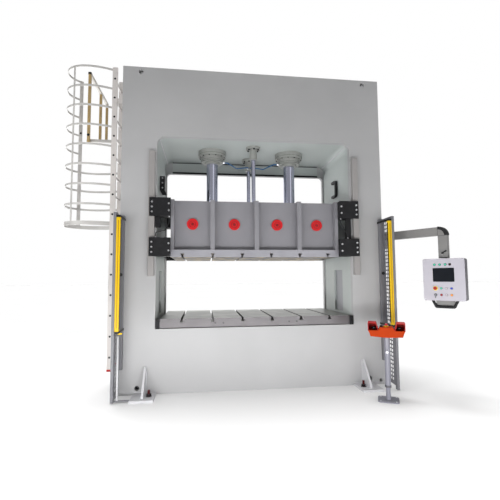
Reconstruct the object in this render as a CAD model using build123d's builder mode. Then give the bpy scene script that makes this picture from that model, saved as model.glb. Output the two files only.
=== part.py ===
"""Straight-side hydraulic press: welded frame, guided slide, ladder with cage, guards and controls.

Millimetres, +X to the operator's right, +Y to the back of the press, +Z up.
The origin is on the floor under the middle of the frame.
"""
from build123d import *
from math import cos, radians, sin, sqrt
import os

os.makedirs("parts", exist_ok=True)

# Clearances
seat_gap = 0.3
run_gap = 0.1

# Frame of welded plates
frame_width = 3600
frame_depth = 1210
frame_height = 4330
face_plate = 65
side_plate = 30
liner_plate = 30
window_width = 2684
window_top = 3380
window_corner = 110
rear_window_width = 2640
rear_window_top = 3190
rear_window_corner = 60
bed_top = 820
bed_plate = 60
bed_rib = 30
bed_rib_pitch = 640
bed_rib_count = 5
crown_plate = 30
lift_hole_radius = 31
lift_hole_x = 1565
lift_hole_below_top = 66
jack_hole_radius = 30
jack_hole_x = 1557
jack_hole_z = 82
cable_hole_radius = 22
cable_hole_x = 1714
cable_hole_z = 52
wall_opening_front = 376
wall_opening_depth = 340
wall_opening_bottom = 965
wall_opening_height = 615

# Bolster and slide share one slot pitch
slot_pitch = 400
slot_count = 6
slot_mouth = 28
slot_mouth_depth = 30
slot_head = 46
slot_head_depth = 20
bolster_length = 2570
bolster_depth = 1190
bolster_thickness = 125
bolster_chamfer = 12
end_block_width = 50
end_block_depth = 120
end_block_height = 120
end_block_proud = 12

slide_width = 2310
slide_depth = 1180
slide_rest_gap = 807
die_plate_thickness = 96
slide_body_height = 679
slide_rib = 60
slide_rib_pitch = 600
slide_outer_rib = 45
slide_pocket = 95
slide_pocket_floor = 4
disc_radius = 77
disc_thickness = 22
disc_height = 356
disc_ring_radius = 22
disc_ring_depth = 4

# Guides on the frame's faces
rail_width = 80
rail_thickness = 50
rail_offset = 18
rail_bottom = 1500
rail_length = 1660
rail_chamfer = 4
guide_block_height = 242
guide_plate_thickness = 35
guide_overhang = 18
guide_root_depth = 120
guide_root_clearance = 12
guide_block_chamfer = 5
lower_block_lift = 8
gib_width = 72
gib_thickness = 38
gib_left_x = -1320
gib_right_x = 1287
gib_short_length = 146

# Cylinders
main_cylinder_x = 594
main_cylinder_y = -20
main_flange_radius = 207
main_flange_height = 88
main_neck_radius = 166
main_neck_height = 80
main_gland_radius = 116
main_gland_height = 32
main_barrel_radius = 190
main_barrel_height = 860
main_rod_radius = 85
main_bore_radius = 125
balance_cylinder_y = 290
balance_flange_radius = 105
balance_flange_height = 35
balance_body_radius = 56
balance_body_drop = 190
balance_barrel_height = 860
balance_rod_radius = 30
balance_bore_radius = 42
cylinder_end_wall = 40
rod_flange_radius = 130
rod_flange_height = 25
balance_rod_flange_radius = 62
rod_reserve = 300

# Feet and floor anchors
foot_x = 1454
foot_width = 282
foot_reach = 330
foot_plate = 28
foot_rib = 26
foot_rib_height = 320
foot_rib_reach = 250
foot_rib_top = 35
anchor_x = 1385
anchor_reach = 165
anchor_radius = 15
anchor_hole_radius = 16
anchor_height = 78
anchor_nut_radius = 30
anchor_nut_height = 26
anchor_washer_radius = 36
anchor_washer_height = 6

# Ladder and safety cage on the left side
ladder_standoff = 170
ladder_front_y = -305
ladder_width = 400
stile_width = 70
stile_thickness = 28
stile_bottom = 262
ladder_top = 4465
rung_first = 419
rung_pitch = 277
rung_count = 15
rung_radius = 14
ladder_bracket_height = 60
ladder_bracket_plate = 10
ladder_bracket_levels = (560, 2300, 3985)
stile_cap_height = 30
stile_cap_corner = 5
hoop_above_rung = 135
hoop_count = 9
open_hoop_count = 5
hoop_thickness = 8
hoop_height = 28
low_hoop_height = 55
cage_reach = 660
cage_half_width = 272
cage_nose = 340
front_strap_width = 25
rear_strap_width = 50
strap_thickness = 6
front_strap_turn = 124
rear_strap_turn = 228

# Guard rail beside the cage's side exit
exit_rail_x = 2440
exit_rail_top = 4600
exit_rail_bottom = 3520
exit_rail_slope = 0.36
exit_rail_tube = 40
exit_rail_corner = 6
exit_post_ys = (115, 715, 1105)
exit_arm_ys = (195, 515)

# Side guards with light curtains
guard_profile = 60
guard_profile_x = 1765
guard_profile_bottom = 330
guard_top = 2285
guard_front_y = -905
guard_front_x = 1792
guard_post_width = 34
guard_post_depth = 50
guard_post_bottom = 12
guard_corner = 4
guard_sheet = 3
guard_sheet_bottom = 60
guard_hole = 34
guard_hole_pitch = 52
guard_hole_columns = 3
curtain_width = 50
curtain_depth = 46
curtain_bottom = 842
curtain_length = 1380
curtain_fillet = 6
curtain_bracket_plate = 8
curtain_bracket_height = 36
curtain_cap_height = 26
grommet_radius = 21
grommet_height = 1522
grommet_proud = 14

# Two-hand console on a telescopic stand
console_x = 1482
console_y = -1250
console_turn = -27
console_base = 240
console_base_plate = 12
console_base_corner = 30
stand_tube_radius = 27
stand_tube_top = 620
column_radius = 32
column_bottom = 155
column_end_wall = 12
collar_radius = 36
collar_height = 24
console_width = 422
console_depth = 180
console_bottom = 750
console_middle_height = 117
console_edge_height = 112
console_end_height = 82
console_foot_inset = 28
console_side_inset = 19
shroud_width = 120
shroud_slant = 28
shroud_height = 91
shroud_wall = 6
palm_radius = 24
palm_neck_radius = 13
palm_cap_thickness = 20
palm_travel = 8
palm_socket_depth = 20
estop_collar_radius = 27
estop_collar_height = 16
estop_radius = 18
estop_height = 18
estop_neck_radius = 11
estop_travel = 5
cap_crown_height = 0.3
cap_crown_width = 0.35
cap_clearance = 1
console_button_x = -58
console_button_radius = 17
console_button_neck = 14
console_button_height = 12
console_button_travel = 4
crown_flat = 70
head_edge_fillet = 4
socket_depth = 14
knob_radius = 20
knob_thickness = 20
knob_flutes = 5
knob_flute_offset = 3
knob_flute_radius = 6.7
knob_stem_radius = 8
knob_boss_radius = 16
knob_boss_proud = 8
knob_height = 575
knob_stem_length = 10

# Pendant on its swivel arm
swivel_x = 1872
swivel_y = -560
arm_turn = -59.5
arm_length = 806
arm_top = 2100
arm_height = 110
arm_width = 60
swivel_radius = 46
swivel_height = 120
swivel_gap = 2
swivel_boss_radius = 40
bracket_plate = 14
bracket_height = 190
bracket_width = 160
bracket_gusset = 14
bracket_gusset_nose = 50
bracket_gusset_foot = 10
drop_length = 287
elbow_radius = 110
elbow_cap_thickness = 6
pendant_turn = -47
pendant_width = 470
pendant_height = 520
pendant_depth = 170
pendant_corner = 22
pendant_edge = 5
pendant_neck_radius = 34
pendant_neck_height = 8
screen_width = 217
screen_height = 148
screen_drop = 128
screen_proud = 4
screen_bezel = 10
screen_corner = 6
screen_recess = 1.5
lamp_radius = 12
lamp_proud = 9
lamp_drop = 74
lamp_columns = (-97, -38, 25, 75)
button_columns = (-97, -31, 27, 84)
upper_button_drop = 368
lower_button_drop = 449
button_radius = 12
button_proud = 9
button_travel = 4
button_chamfer = 2
button_depth = 14
pendant_estop_radius = 20
pendant_estop_stem = 12
pendant_estop_cap = 14
key_radius = 14
key_collar = 10
key_thickness = 4
key_bow_length = 48
key_bow_width = 15
key_bow_drop = 15
handle_width = 284
handle_drop = 92
handle_taper = 40
handle_bar = 22
handle_setback = 40
handle_bend = 16
lever_length = 62
lever_width = 15
lever_angle = 28
lever_hub_length = 16
lever_hub_radius = 10.5
lever_thickness = 9
lever_rise = 62

# Small parts on the window walls
wall_block_front = 350
wall_block_depth = 350
wall_block_bottom = 2730
wall_block_height = 200
wall_block_thickness = 70
wall_bolt_radius = 16
wall_bolt_pitch_y = 175
wall_bolt_pitch_z = 120
cable_hook_front = 480
cable_hook_depth = 200
cable_hook_bottom = 2717
cable_hook_height = 260
cable_hook_bar = 36
cable_hook_thickness = 40

# Formed tubes
drain_tube_radius = 9
drain_tube_bend = 40
drain_tube_low_x = 210
drain_tube_sag = 46
drain_tube_run = 70
neck_port_rise = 12
balance_port_rise = 30
lube_tube_radius = 6
left_tube_bend = 18
right_tube_bend = 26
left_tube_port = 14
right_tube_port = 10
left_tube_end = 20
left_tube_drops = (86, 186, 216)
left_tube_step = 46
right_tube_drop = 60
right_tube_step = 96
right_tube_rise = 52

# Places worked out from the sizes above
front_y = -frame_depth / 2
rear_y = frame_depth / 2
inner_front_y = front_y + face_plate
inner_depth = frame_depth - 2 * face_plate
window_half = window_width / 2
side_x = frame_width / 2
bolster_top = bed_top + bolster_thickness
slide_bottom = bolster_top + slide_rest_gap
die_plate_top = slide_bottom + die_plate_thickness
slide_top = die_plate_top + slide_body_height
slide_front_y = -slide_depth / 2
rail_x = window_half + rail_offset
ladder_x = -(side_x + ladder_standoff)
ladder_mid_y = ladder_front_y + ladder_width / 2
slot_xs = [(i - (slot_count - 1) / 2) * slot_pitch for i in range(slot_count)]
rib_half = slide_rib / 2
bay_end = slide_width / 2 - slide_outer_rib
slide_bays = [
    (-bay_end, -slide_rib_pitch - rib_half),
    (-slide_rib_pitch + rib_half, -rib_half),
    (rib_half, slide_rib_pitch - rib_half),
    (slide_rib_pitch + rib_half, bay_end),
]


def save(part, name):
    part.label = name
    export_step(part, f"parts/{name}.step")


def facing_front(y):
    """A plane that faces the operator, with X across and Z up."""
    return Plane.XZ.offset(-y)


def turned(x, y, z, angle):
    """A level plane at a point, turned about the vertical."""
    return Plane(origin=(x, y, z), x_dir=(cos(radians(angle)), sin(radians(angle)), 0), z_dir=(0, 0, 1))


def front_of(level, across, back, up):
    """A plane that faces the front of a turned level plane."""
    origin = level.from_local_coords(Vector(across, back, up))
    return Plane(origin=origin, x_dir=level.x_dir, z_dir=-level.y_dir)


def face_plate_part(y, opening_width, opening_top, opening_corner, holes):
    """One of the two big face plates, cut from sheet with its window and round holes."""
    with BuildPart() as plate:
        with BuildSketch(facing_front(y)) as outline:
            Rectangle(frame_width, frame_height, align=(Align.CENTER, Align.MIN))
            with Locations((0, bed_top)):
                Rectangle(opening_width, opening_top - bed_top,
                          align=(Align.CENTER, Align.MIN), mode=Mode.SUBTRACT)
            corners = outline.vertices().filter_by_position(Axis.Y, opening_top - 1, opening_top + 1)
            fillet(corners, opening_corner)
            for x, z, radius in holes:
                with Locations((x, z)):
                    Circle(radius, mode=Mode.SUBTRACT)
        extrude(amount=-face_plate)
    return plate.part


lift_hole_z = frame_height - lift_hole_below_top
front_holes = [
    (-lift_hole_x, lift_hole_z, lift_hole_radius),
    (lift_hole_x, lift_hole_z, lift_hole_radius),
    (-jack_hole_x, jack_hole_z, jack_hole_radius),
    (jack_hole_x, jack_hole_z, jack_hole_radius),
    (cable_hole_x, cable_hole_z, cable_hole_radius),
]
rear_holes = front_holes[:4]
save(face_plate_part(front_y, window_width, window_top, window_corner, front_holes), "front_plate")
save(face_plate_part(rear_y - face_plate, rear_window_width, rear_window_top, rear_window_corner, rear_holes),
     "rear_plate")


# Outer side plates close the columns between the face plates
with BuildPart() as side_plates:
    with BuildSketch(Plane.XY):
        with Locations((side_plate / 2 - side_x, 0), (side_x - side_plate / 2, 0)):
            Rectangle(side_plate, inner_depth)
    extrude(amount=frame_height)
save(side_plates.part, "side_plates")

# The window liner is one bent sheet: both inner walls and the crown's underside
liner_bottom = bed_top - bed_plate
wall_opening_y = front_y + wall_opening_front + wall_opening_depth / 2
with BuildPart() as window_liner:
    with BuildSketch(facing_front(inner_front_y)) as liner_outline:
        with Locations((0, liner_bottom)):
            Rectangle(window_width + 2 * liner_plate, window_top + liner_plate - liner_bottom,
                      align=(Align.CENTER, Align.MIN))
        outer_top = window_top + liner_plate
        outer_corners = liner_outline.vertices().filter_by_position(Axis.Y, outer_top - 1, outer_top + 1)
        fillet(outer_corners, window_corner + liner_plate)
    extrude(amount=-inner_depth)
    with BuildSketch(facing_front(inner_front_y)) as hollow_outline:
        with Locations((0, liner_bottom)):
            Rectangle(window_width, window_top - liner_bottom, align=(Align.CENTER, Align.MIN))
        inner_corners = hollow_outline.vertices().filter_by_position(Axis.Y, window_top - 1, window_top + 1)
        fillet(inner_corners, window_corner)
    extrude(amount=-inner_depth, mode=Mode.SUBTRACT)
    with BuildSketch(Plane.XY.offset(window_top + liner_plate)):
        with Locations((-main_cylinder_x, main_cylinder_y), (main_cylinder_x, main_cylinder_y)):
            Circle(main_barrel_radius + seat_gap)
        with Locations((0, -balance_cylinder_y), (0, balance_cylinder_y)):
            Circle(balance_body_radius + seat_gap)
    extrude(amount=-liner_plate, mode=Mode.SUBTRACT)
    with BuildSketch(Plane.YZ.offset(-window_half - liner_plate)):
        with Locations((wall_opening_y, wall_opening_bottom)):
            Rectangle(wall_opening_depth, wall_opening_height, align=(Align.CENTER, Align.MIN))
    extrude(amount=window_width + 2 * liner_plate, mode=Mode.SUBTRACT)
save(window_liner.part, "window_liner")

with BuildPart() as crown_cover:
    with BuildSketch(Plane.XY.offset(frame_height - crown_plate)):
        Rectangle(frame_width - 2 * side_plate, inner_depth)
    extrude(amount=crown_plate)
save(crown_cover.part, "crown_plate")

# The bed is a plate on upright ribs behind the face plates
with BuildPart() as bed:
    with BuildSketch(Plane.XY.offset(bed_top - bed_plate)):
        Rectangle(window_width, inner_depth)
    extrude(amount=bed_plate)
    with BuildSketch(Plane.XY):
        with GridLocations(bed_rib_pitch, 1, bed_rib_count, 1):
            Rectangle(bed_rib, inner_depth)
    extrude(amount=bed_top - bed_plate)
save(bed.part, "bed")


def t_slots(face_z, direction, depth):
    """The row of T-slots as solids to cut away, from a level face inwards."""
    with BuildPart() as slots:
        with BuildSketch(facing_front(-depth / 2)):
            for x in slot_xs:
                with Locations((x, face_z + direction * slot_mouth_depth / 2)):
                    Rectangle(slot_mouth, slot_mouth_depth)
                with Locations((x, face_z + direction * (slot_mouth_depth + slot_head_depth / 2))):
                    Rectangle(slot_head, slot_head_depth)
        extrude(amount=-depth)
    return slots.part


bolster_slots = t_slots(bolster_top, -1, bolster_depth)
with BuildPart() as bolster:
    with BuildSketch(Plane.YZ.offset(-bolster_length / 2)) as bolster_end:
        with Locations((0, bed_top)):
            Rectangle(bolster_depth, bolster_thickness, align=(Align.CENTER, Align.MIN))
        low_corners = bolster_end.vertices().filter_by_position(Axis.Y, bed_top - 1, bed_top + 1)
        chamfer(low_corners, bolster_chamfer)
    extrude(amount=bolster_length)
    add(bolster_slots, mode=Mode.SUBTRACT)
save(bolster.part, "bolster")

with BuildPart() as bolster_blocks:
    block_y = front_y - end_block_proud + end_block_depth / 2
    with BuildSketch(Plane.XY.offset(bed_top)):
        for side in (-1, 1):
            with Locations((side * (bolster_length / 2 + end_block_width / 2), block_y)):
                Rectangle(end_block_width, end_block_depth)
    extrude(amount=end_block_height)
    fillet(bolster_blocks.edges().filter_by(Axis.Z), guide_block_chamfer)
save(bolster_blocks.part, "bolster_end_blocks")

# Slide: a welded box whose panels lie back between five upright ribs, front and back
with BuildPart() as slide_body:
    with BuildSketch(Plane.XY.offset(die_plate_top)):
        Rectangle(slide_width, slide_depth)
    extrude(amount=slide_body_height)
    for side in (-1, 1):
        pocket_plane = facing_front(side * slide_depth / 2)
        with BuildSketch(pocket_plane):
            for left, right in slide_bays:
                with Locations(((left + right) / 2, die_plate_top + slide_pocket_floor)):
                    Rectangle(right - left, slide_body_height, align=(Align.CENTER, Align.MIN))
        extrude(amount=side * slide_pocket, mode=Mode.SUBTRACT)
save(slide_body.part, "slide_body")

slide_slots = t_slots(slide_bottom, 1, slide_depth)
with BuildPart() as die_plate:
    with BuildSketch(Plane.XY.offset(slide_bottom)):
        Rectangle(slide_width, slide_depth)
    extrude(amount=die_plate_thickness)
    add(slide_slots, mode=Mode.SUBTRACT)
save(die_plate.part, "slide_die_plate")

# Red cover discs, one in the middle of each front bay
disc_xs = [(left + right) / 2 for left, right in slide_bays]
disc_y = slide_front_y + slide_pocket
with BuildPart() as slide_discs:
    with BuildSketch(facing_front(disc_y)):
        with Locations(*[(x, die_plate_top + disc_height) for x in disc_xs]):
            Circle(disc_radius)
    extrude(amount=disc_thickness)
    with BuildSketch(facing_front(disc_y - disc_thickness)):
        with Locations(*[(x, die_plate_top + disc_height) for x in disc_xs]):
            Circle(disc_ring_radius)
    extrude(amount=-disc_ring_depth, mode=Mode.SUBTRACT)
save(slide_discs.part, "slide_cover_discs")

# Guide rails are bolted to both face plates beside the window
rail_mid_x = rail_x + rail_width / 2
with BuildPart() as guide_rails:
    for y, direction in ((front_y, 1), (rear_y, -1)):
        with BuildSketch(facing_front(y)):
            with Locations((-rail_mid_x, rail_bottom), (rail_mid_x, rail_bottom)):
                Rectangle(rail_width, rail_length, align=(Align.CENTER, Align.MIN))
        extrude(amount=direction * rail_thickness)
    outer_edges = guide_rails.edges().filter_by(Axis.Z).group_by(lambda edge: round(abs(edge.center().Y)))[-1]
    chamfer(outer_edges, rail_chamfer)
save(guide_rails.part, "guide_rails")


def guide_blocks_part(face, half_opening):
    """Four guide blocks: each has a plate over the rail and a root on the slide's side."""
    plate_inner = rail_thickness + seat_gap
    plate_outer = plate_inner + guide_plate_thickness
    slide_side = slide_width / 2
    leg_end = rail_x - seat_gap
    root_end = half_opening - guide_root_clearance
    plate_end = rail_x + rail_width - guide_overhang
    outline = [
        (slide_side - guide_block_chamfer, -plate_outer),
        (plate_end, -plate_outer),
        (plate_end, -plate_inner),
        (leg_end, -plate_inner),
        (leg_end, -seat_gap),
        (root_end, -seat_gap),
        (root_end, guide_root_depth),
        (slide_side, guide_root_depth),
        (slide_side, -plate_inner),
        (slide_side - guide_block_chamfer, -plate_inner),
    ]
    with BuildPart() as guide_blocks:
        for bottom in (lower_block_z, upper_block_z):
            with BuildSketch(Plane.XY.offset(bottom)):
                for side in (-1, 1):
                    with BuildLine():
                        placed = [(side * x, face * (frame_depth / 2 - y)) for x, y in outline]
                        Polyline(*placed, close=True)
                    make_face()
            extrude(amount=guide_block_height)
    return guide_blocks.part


upper_block_z = slide_top + seat_gap - guide_block_height
lower_block_z = slide_bottom + lower_block_lift
save(guide_blocks_part(-1, window_half), "guide_blocks_front")
save(guide_blocks_part(1, rear_window_width / 2), "guide_blocks_rear")

# Gib strips hang between the front guide blocks, the left one cut short
with BuildPart() as gib_strips:
    gib_y = front_y - seat_gap - gib_thickness / 2
    gib_gap = upper_block_z - lower_block_z - guide_block_height
    with BuildSketch(Plane.XY.offset(upper_block_z)):
        with Locations((gib_left_x, gib_y)):
            Rectangle(gib_width, gib_thickness)
    extrude(amount=-gib_short_length)
    with BuildSketch(Plane.XY.offset(upper_block_z)):
        with Locations((gib_right_x, gib_y)):
            Rectangle(gib_width, gib_thickness)
    extrude(amount=-gib_gap)
save(gib_strips.part, "gib_strips")


def cylinders_part(places, steps, barrel_radius, barrel_height, bore_radius, rod_radius):
    """Turned cylinders hung in the crown, each from its stepped neck to its closed top."""
    drop = sum(height for radius, height in steps)
    bottom = window_top - drop
    top = window_top + barrel_height
    gland_top = bottom + cylinder_end_wall
    profile = [(rod_radius + run_gap, bottom)]
    z = bottom
    for radius, height in reversed(steps):
        profile += [(radius, z), (radius, z + height)]
        z += height
    profile += [(barrel_radius, z), (barrel_radius, top), (0, top), (0, top - cylinder_end_wall)]
    profile += [(bore_radius, top - cylinder_end_wall), (bore_radius, gland_top)]
    profile += [(rod_radius + run_gap, gland_top)]
    with BuildPart() as cylinders:
        for x, y in places:
            with BuildSketch(facing_front(y)):
                with BuildLine():
                    Polyline(*[(x + r, height) for r, height in profile], close=True)
                make_face()
            revolve(axis=Axis((x, y, 0), (0, 0, 1)))
    return cylinders.part


main_steps = [
    (main_flange_radius, main_flange_height),
    (main_neck_radius, main_neck_height),
    (main_gland_radius, main_gland_height),
]
balance_steps = [
    (balance_flange_radius, balance_flange_height),
    (balance_body_radius, balance_body_drop - balance_flange_height),
]
main_places = [(-main_cylinder_x, main_cylinder_y), (main_cylinder_x, main_cylinder_y)]
balance_places = [(0, -balance_cylinder_y), (0, balance_cylinder_y)]
save(cylinders_part(main_places, main_steps, main_barrel_radius, main_barrel_height,
                    main_bore_radius, main_rod_radius), "main_cylinders")
save(cylinders_part(balance_places, balance_steps, balance_body_radius, balance_barrel_height,
                    balance_bore_radius, balance_rod_radius), "balance_cylinders")

# Chromed rods stand on the slide's top, each on a flange
with BuildPart() as rods:
    for places, rod_radius, flange_radius in (
        (main_places, main_rod_radius, rod_flange_radius),
        (balance_places, balance_rod_radius, balance_rod_flange_radius),
    ):
        with BuildSketch(Plane.XY.offset(slide_top)):
            with Locations(*places):
                Circle(flange_radius)
        extrude(amount=rod_flange_height)
        with BuildSketch(Plane.XY.offset(slide_top)):
            with Locations(*places):
                Circle(rod_radius)
        extrude(amount=window_top + rod_reserve - slide_top)
save(rods.part, "cylinder_rods")

# Feet: a floor plate and an upright rib welded to each face plate
with BuildPart() as feet:
    for face in (-1, 1):
        with BuildSketch(Plane.XY):
            for side in (-1, 1):
                with Locations((side * foot_x, face * (frame_depth / 2 + foot_reach / 2))):
                    Rectangle(foot_width, foot_reach)
            for side in (-1, 1):
                with Locations((side * anchor_x, face * (frame_depth / 2 + anchor_reach))):
                    Circle(anchor_hole_radius, mode=Mode.SUBTRACT)
        extrude(amount=foot_plate)
        for side in (-1, 1):
            with BuildSketch(Plane.YZ.offset(side * foot_x - foot_rib / 2)):
                with BuildLine():
                    start = face * frame_depth / 2
                    Polyline((start, foot_plate), (start + face * foot_rib_reach, foot_plate),
                             (start + face * foot_rib_reach, foot_plate + foot_rib_top),
                             (start + face * foot_rib_top, foot_rib_height + foot_plate),
                             (start, foot_rib_height + foot_plate), close=True)
                make_face()
            extrude(amount=foot_rib)
save(feet.part, "feet")

anchor_y = frame_depth / 2 + anchor_reach
anchor_places = [(side * anchor_x, face * anchor_y) for side in (-1, 1) for face in (-1, 1)]
with BuildPart() as anchor_bolts:
    with BuildSketch(Plane.XY.offset(foot_plate)):
        with Locations(*anchor_places):
            Circle(anchor_washer_radius)
    extrude(amount=anchor_washer_height)
    with BuildSketch(Plane.XY.offset(foot_plate + anchor_washer_height)):
        with Locations(*anchor_places):
            RegularPolygon(anchor_nut_radius, 6)
    extrude(amount=anchor_nut_height)
    with BuildSketch(Plane.XY):
        with Locations(*anchor_places):
            Circle(anchor_radius)
    extrude(amount=foot_plate + anchor_height)
save(anchor_bolts.part, "anchor_bolts")

# Ladder: two stiles on brackets to the frame's side, and rungs between them
rung_zs = [rung_first + i * rung_pitch for i in range(rung_count)]
stile_ys = (ladder_front_y, ladder_front_y + ladder_width)
with BuildPart() as ladder_stiles:
    with BuildSketch(Plane.XY.offset(stile_bottom)):
        with Locations((ladder_x, stile_ys[0]), (ladder_x, stile_ys[1])):
            Rectangle(stile_width, stile_thickness)
    extrude(amount=ladder_top - stile_bottom)
    bracket_reach = ladder_standoff - stile_width / 2
    for y in stile_ys:
        with BuildSketch(Plane.YZ.offset(-side_x)):
            with Locations(*[(y, z) for z in ladder_bracket_levels]):
                Rectangle(ladder_bracket_plate, ladder_bracket_height)
        extrude(amount=-bracket_reach)
save(ladder_stiles.part, "ladder_stiles")

with BuildPart() as ladder_rungs:
    with BuildSketch(facing_front(stile_ys[0] + stile_thickness / 2)):
        with Locations(*[(ladder_x, z) for z in rung_zs]):
            Circle(rung_radius)
    extrude(amount=stile_thickness - ladder_width)
save(ladder_rungs.part, "ladder_rungs")

with BuildPart() as stile_caps:
    with BuildSketch(Plane.XY.offset(stile_bottom)):
        with Locations((ladder_x, stile_ys[0]), (ladder_x, stile_ys[1])):
            RectangleRounded(stile_width, stile_thickness, stile_cap_corner)
    extrude(amount=-stile_cap_height)
save(stile_caps.part, "stile_caps")

# Safety cage: bent flat bars, the upper ones open towards the exit at the back
nose_x = ladder_x - cage_reach - stile_width / 2 + cage_nose
side_run = ladder_x - stile_width / 2 - nose_x
flare = cage_half_width - ladder_width / 2
flare_radius = (side_run ** 2 + flare ** 2) / (2 * flare)


def flare_mid(sign):
    """The middle point of the arc from the cage's widest place to a stile."""
    half = side_run / 2
    inward = flare_radius - sqrt(flare_radius ** 2 - half ** 2)
    return nose_x + half, ladder_mid_y + sign * (cage_half_width - inward)


hoop_zs = [z + hoop_above_rung - hoop_height / 2 for z in rung_zs[-hoop_count:]]
stile_side = ladder_x - stile_width / 2
with BuildPart() as cage_hoops:
    for index, z in enumerate(hoop_zs):
        height = low_hoop_height if index == 0 else hoop_height
        end_turn = 270 if index < hoop_count - open_hoop_count else rear_strap_turn
        with BuildSketch(Plane.XY.offset(z)):
            with BuildLine():
                ThreePointArc((stile_side, ladder_mid_y - ladder_width / 2), flare_mid(-1),
                              (nose_x, ladder_mid_y - cage_half_width))
                EllipticalCenterArc((nose_x, ladder_mid_y), cage_nose, cage_half_width,
                                    start_angle=270, arc_size=90 - end_turn)
                if end_turn == 270:
                    ThreePointArc((nose_x, ladder_mid_y + cage_half_width), flare_mid(1),
                                  (stile_side, ladder_mid_y + ladder_width / 2))
            trace(line_width=hoop_thickness)
            with Locations((stile_side, ladder_mid_y)):
                Rectangle(hoop_thickness, 2 * cage_half_width,
                          align=(Align.MIN, Align.CENTER), mode=Mode.SUBTRACT)
        extrude(amount=height)
save(cage_hoops.part, "cage_hoops")


def strap_place(turn, width):
    """A point inside the hoops where a flat strap's edges meet them, and the hoop's direction there."""
    angle = radians(360 - turn)
    across = cage_nose - hoop_thickness / 2
    along = cage_half_width - hoop_thickness / 2
    speed = sqrt((across * sin(angle)) ** 2 + (along * cos(angle)) ** 2)
    bend_radius = speed ** 3 / (across * along)
    reach = width ** 2 / (8 * bend_radius) + strap_thickness / 2 + seat_gap
    tangent = Vector(-across * sin(angle), along * cos(angle), 0)
    inwards = Vector(0, 0, 1).cross(tangent).normalized()
    on_hoop = Vector(nose_x + across * cos(angle), ladder_mid_y + along * sin(angle), 0)
    return on_hoop + inwards * reach, tangent


with BuildPart() as cage_straps:
    strap_top = hoop_zs[-1] + hoop_height
    for turn, width in ((front_strap_turn, front_strap_width), (rear_strap_turn, rear_strap_width)):
        place, tangent = strap_place(turn, width)
        level = Plane(origin=(place.X, place.Y, hoop_zs[0]), x_dir=tangent, z_dir=(0, 0, 1))
        with BuildSketch(level):
            Rectangle(width, strap_thickness)
        extrude(amount=strap_top - hoop_zs[0])
save(cage_straps.part, "cage_straps")

# Guard rail beside the exit: three posts between a level top rail and a rising bottom rail, on two arms
def bottom_rail_z(y):
    """The underside of the rising bottom rail at that depth."""
    return exit_rail_bottom + exit_rail_slope * (y - exit_post_ys[0])


with BuildPart() as exit_rail:
    rail_start = exit_post_ys[0] - exit_rail_tube / 2
    rail_end = exit_post_ys[-1] + exit_rail_tube / 2
    for y in exit_post_ys:
        foot_z = bottom_rail_z(y) + exit_rail_tube / 2
        with BuildSketch(Plane.XY.offset(foot_z)):
            with Locations((-exit_rail_x, y)):
                RectangleRounded(exit_rail_tube, exit_rail_tube, exit_rail_corner)
        extrude(amount=exit_rail_top - foot_z)
    with BuildSketch(Plane.YZ.offset(-exit_rail_x - exit_rail_tube / 2)):
        with BuildLine():
            Polyline((rail_start, exit_rail_top - exit_rail_tube), (rail_end, exit_rail_top - exit_rail_tube),
                     (rail_end, exit_rail_top), (rail_start, exit_rail_top), close=True)
        make_face()
        with BuildLine():
            Polyline((rail_start, bottom_rail_z(rail_start)), (rail_end, bottom_rail_z(rail_end)),
                     (rail_end, bottom_rail_z(rail_end) + exit_rail_tube),
                     (rail_start, bottom_rail_z(rail_start) + exit_rail_tube), close=True)
        make_face()
    extrude(amount=exit_rail_tube)
    with BuildSketch(Plane.YZ.offset(-side_x)):
        for y in exit_arm_ys:
            with Locations((y, bottom_rail_z(y) + exit_rail_tube / 2)):
                Rectangle(exit_rail_tube, exit_rail_tube)
    extrude(amount=-(exit_rail_x - side_x))
save(exit_rail.part, "exit_guard_rail")


# Side guards: a profile on the frame's face, a perforated sheet and a front post
def guard_part(side):
    """One guard: the profile, the post and the sheet between them."""
    rear_x = guard_profile_x + guard_profile / 2 - guard_sheet
    front_x = guard_front_x - guard_post_width / 2
    sheet_rear = Vector(side * rear_x, front_y - guard_profile, 0)
    sheet_front = Vector(side * front_x, guard_front_y + guard_post_depth / 2, 0)
    along = sheet_front - sheet_rear
    with BuildPart() as guard:
        with BuildSketch(Plane.XY.offset(guard_profile_bottom)):
            with Locations((side * guard_profile_x, front_y - guard_profile / 2)):
                RectangleRounded(guard_profile, guard_profile, guard_corner)
        extrude(amount=guard_top - guard_profile_bottom)
        with BuildSketch(Plane.XY.offset(guard_post_bottom)):
            with Locations((side * guard_front_x, guard_front_y)):
                RectangleRounded(guard_post_width, guard_post_depth, guard_corner)
        extrude(amount=guard_top - guard_post_bottom)
        sheet_plane = Plane(origin=sheet_rear, x_dir=along, z_dir=along.cross(Vector(0, 0, 1)))
        with BuildSketch(sheet_plane):
            with Locations((0, guard_sheet_bottom)):
                Rectangle(along.length + guard_sheet, guard_top - guard_sheet_bottom, align=Align.MIN)
            rows = int((guard_top - guard_sheet_bottom - guard_hole_pitch) / guard_hole_pitch)
            middle = (along.length / 2, (guard_top + guard_sheet_bottom) / 2)
            with Locations(middle):
                with GridLocations(guard_hole_pitch, guard_hole_pitch, guard_hole_columns, rows):
                    Rectangle(guard_hole, guard_hole, mode=Mode.SUBTRACT)
        extrude(amount=guard_sheet / 2, both=True)
    return guard.part


left_guard = guard_part(-1)
right_guard = guard_part(1)
with BuildPart() as side_guards:
    add(left_guard)
    add(right_guard)
save(side_guards.part, "side_guards")

curtain_x = guard_front_x - guard_post_width / 2 - curtain_width / 2
with BuildPart() as light_curtains:
    with BuildSketch(Plane.XY.offset(curtain_bottom)):
        with Locations((-curtain_x, guard_front_y), (curtain_x, guard_front_y)):
            RectangleRounded(curtain_width, curtain_depth, curtain_fillet)
    extrude(amount=curtain_length)
save(light_curtains.part, "light_curtains")

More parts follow.
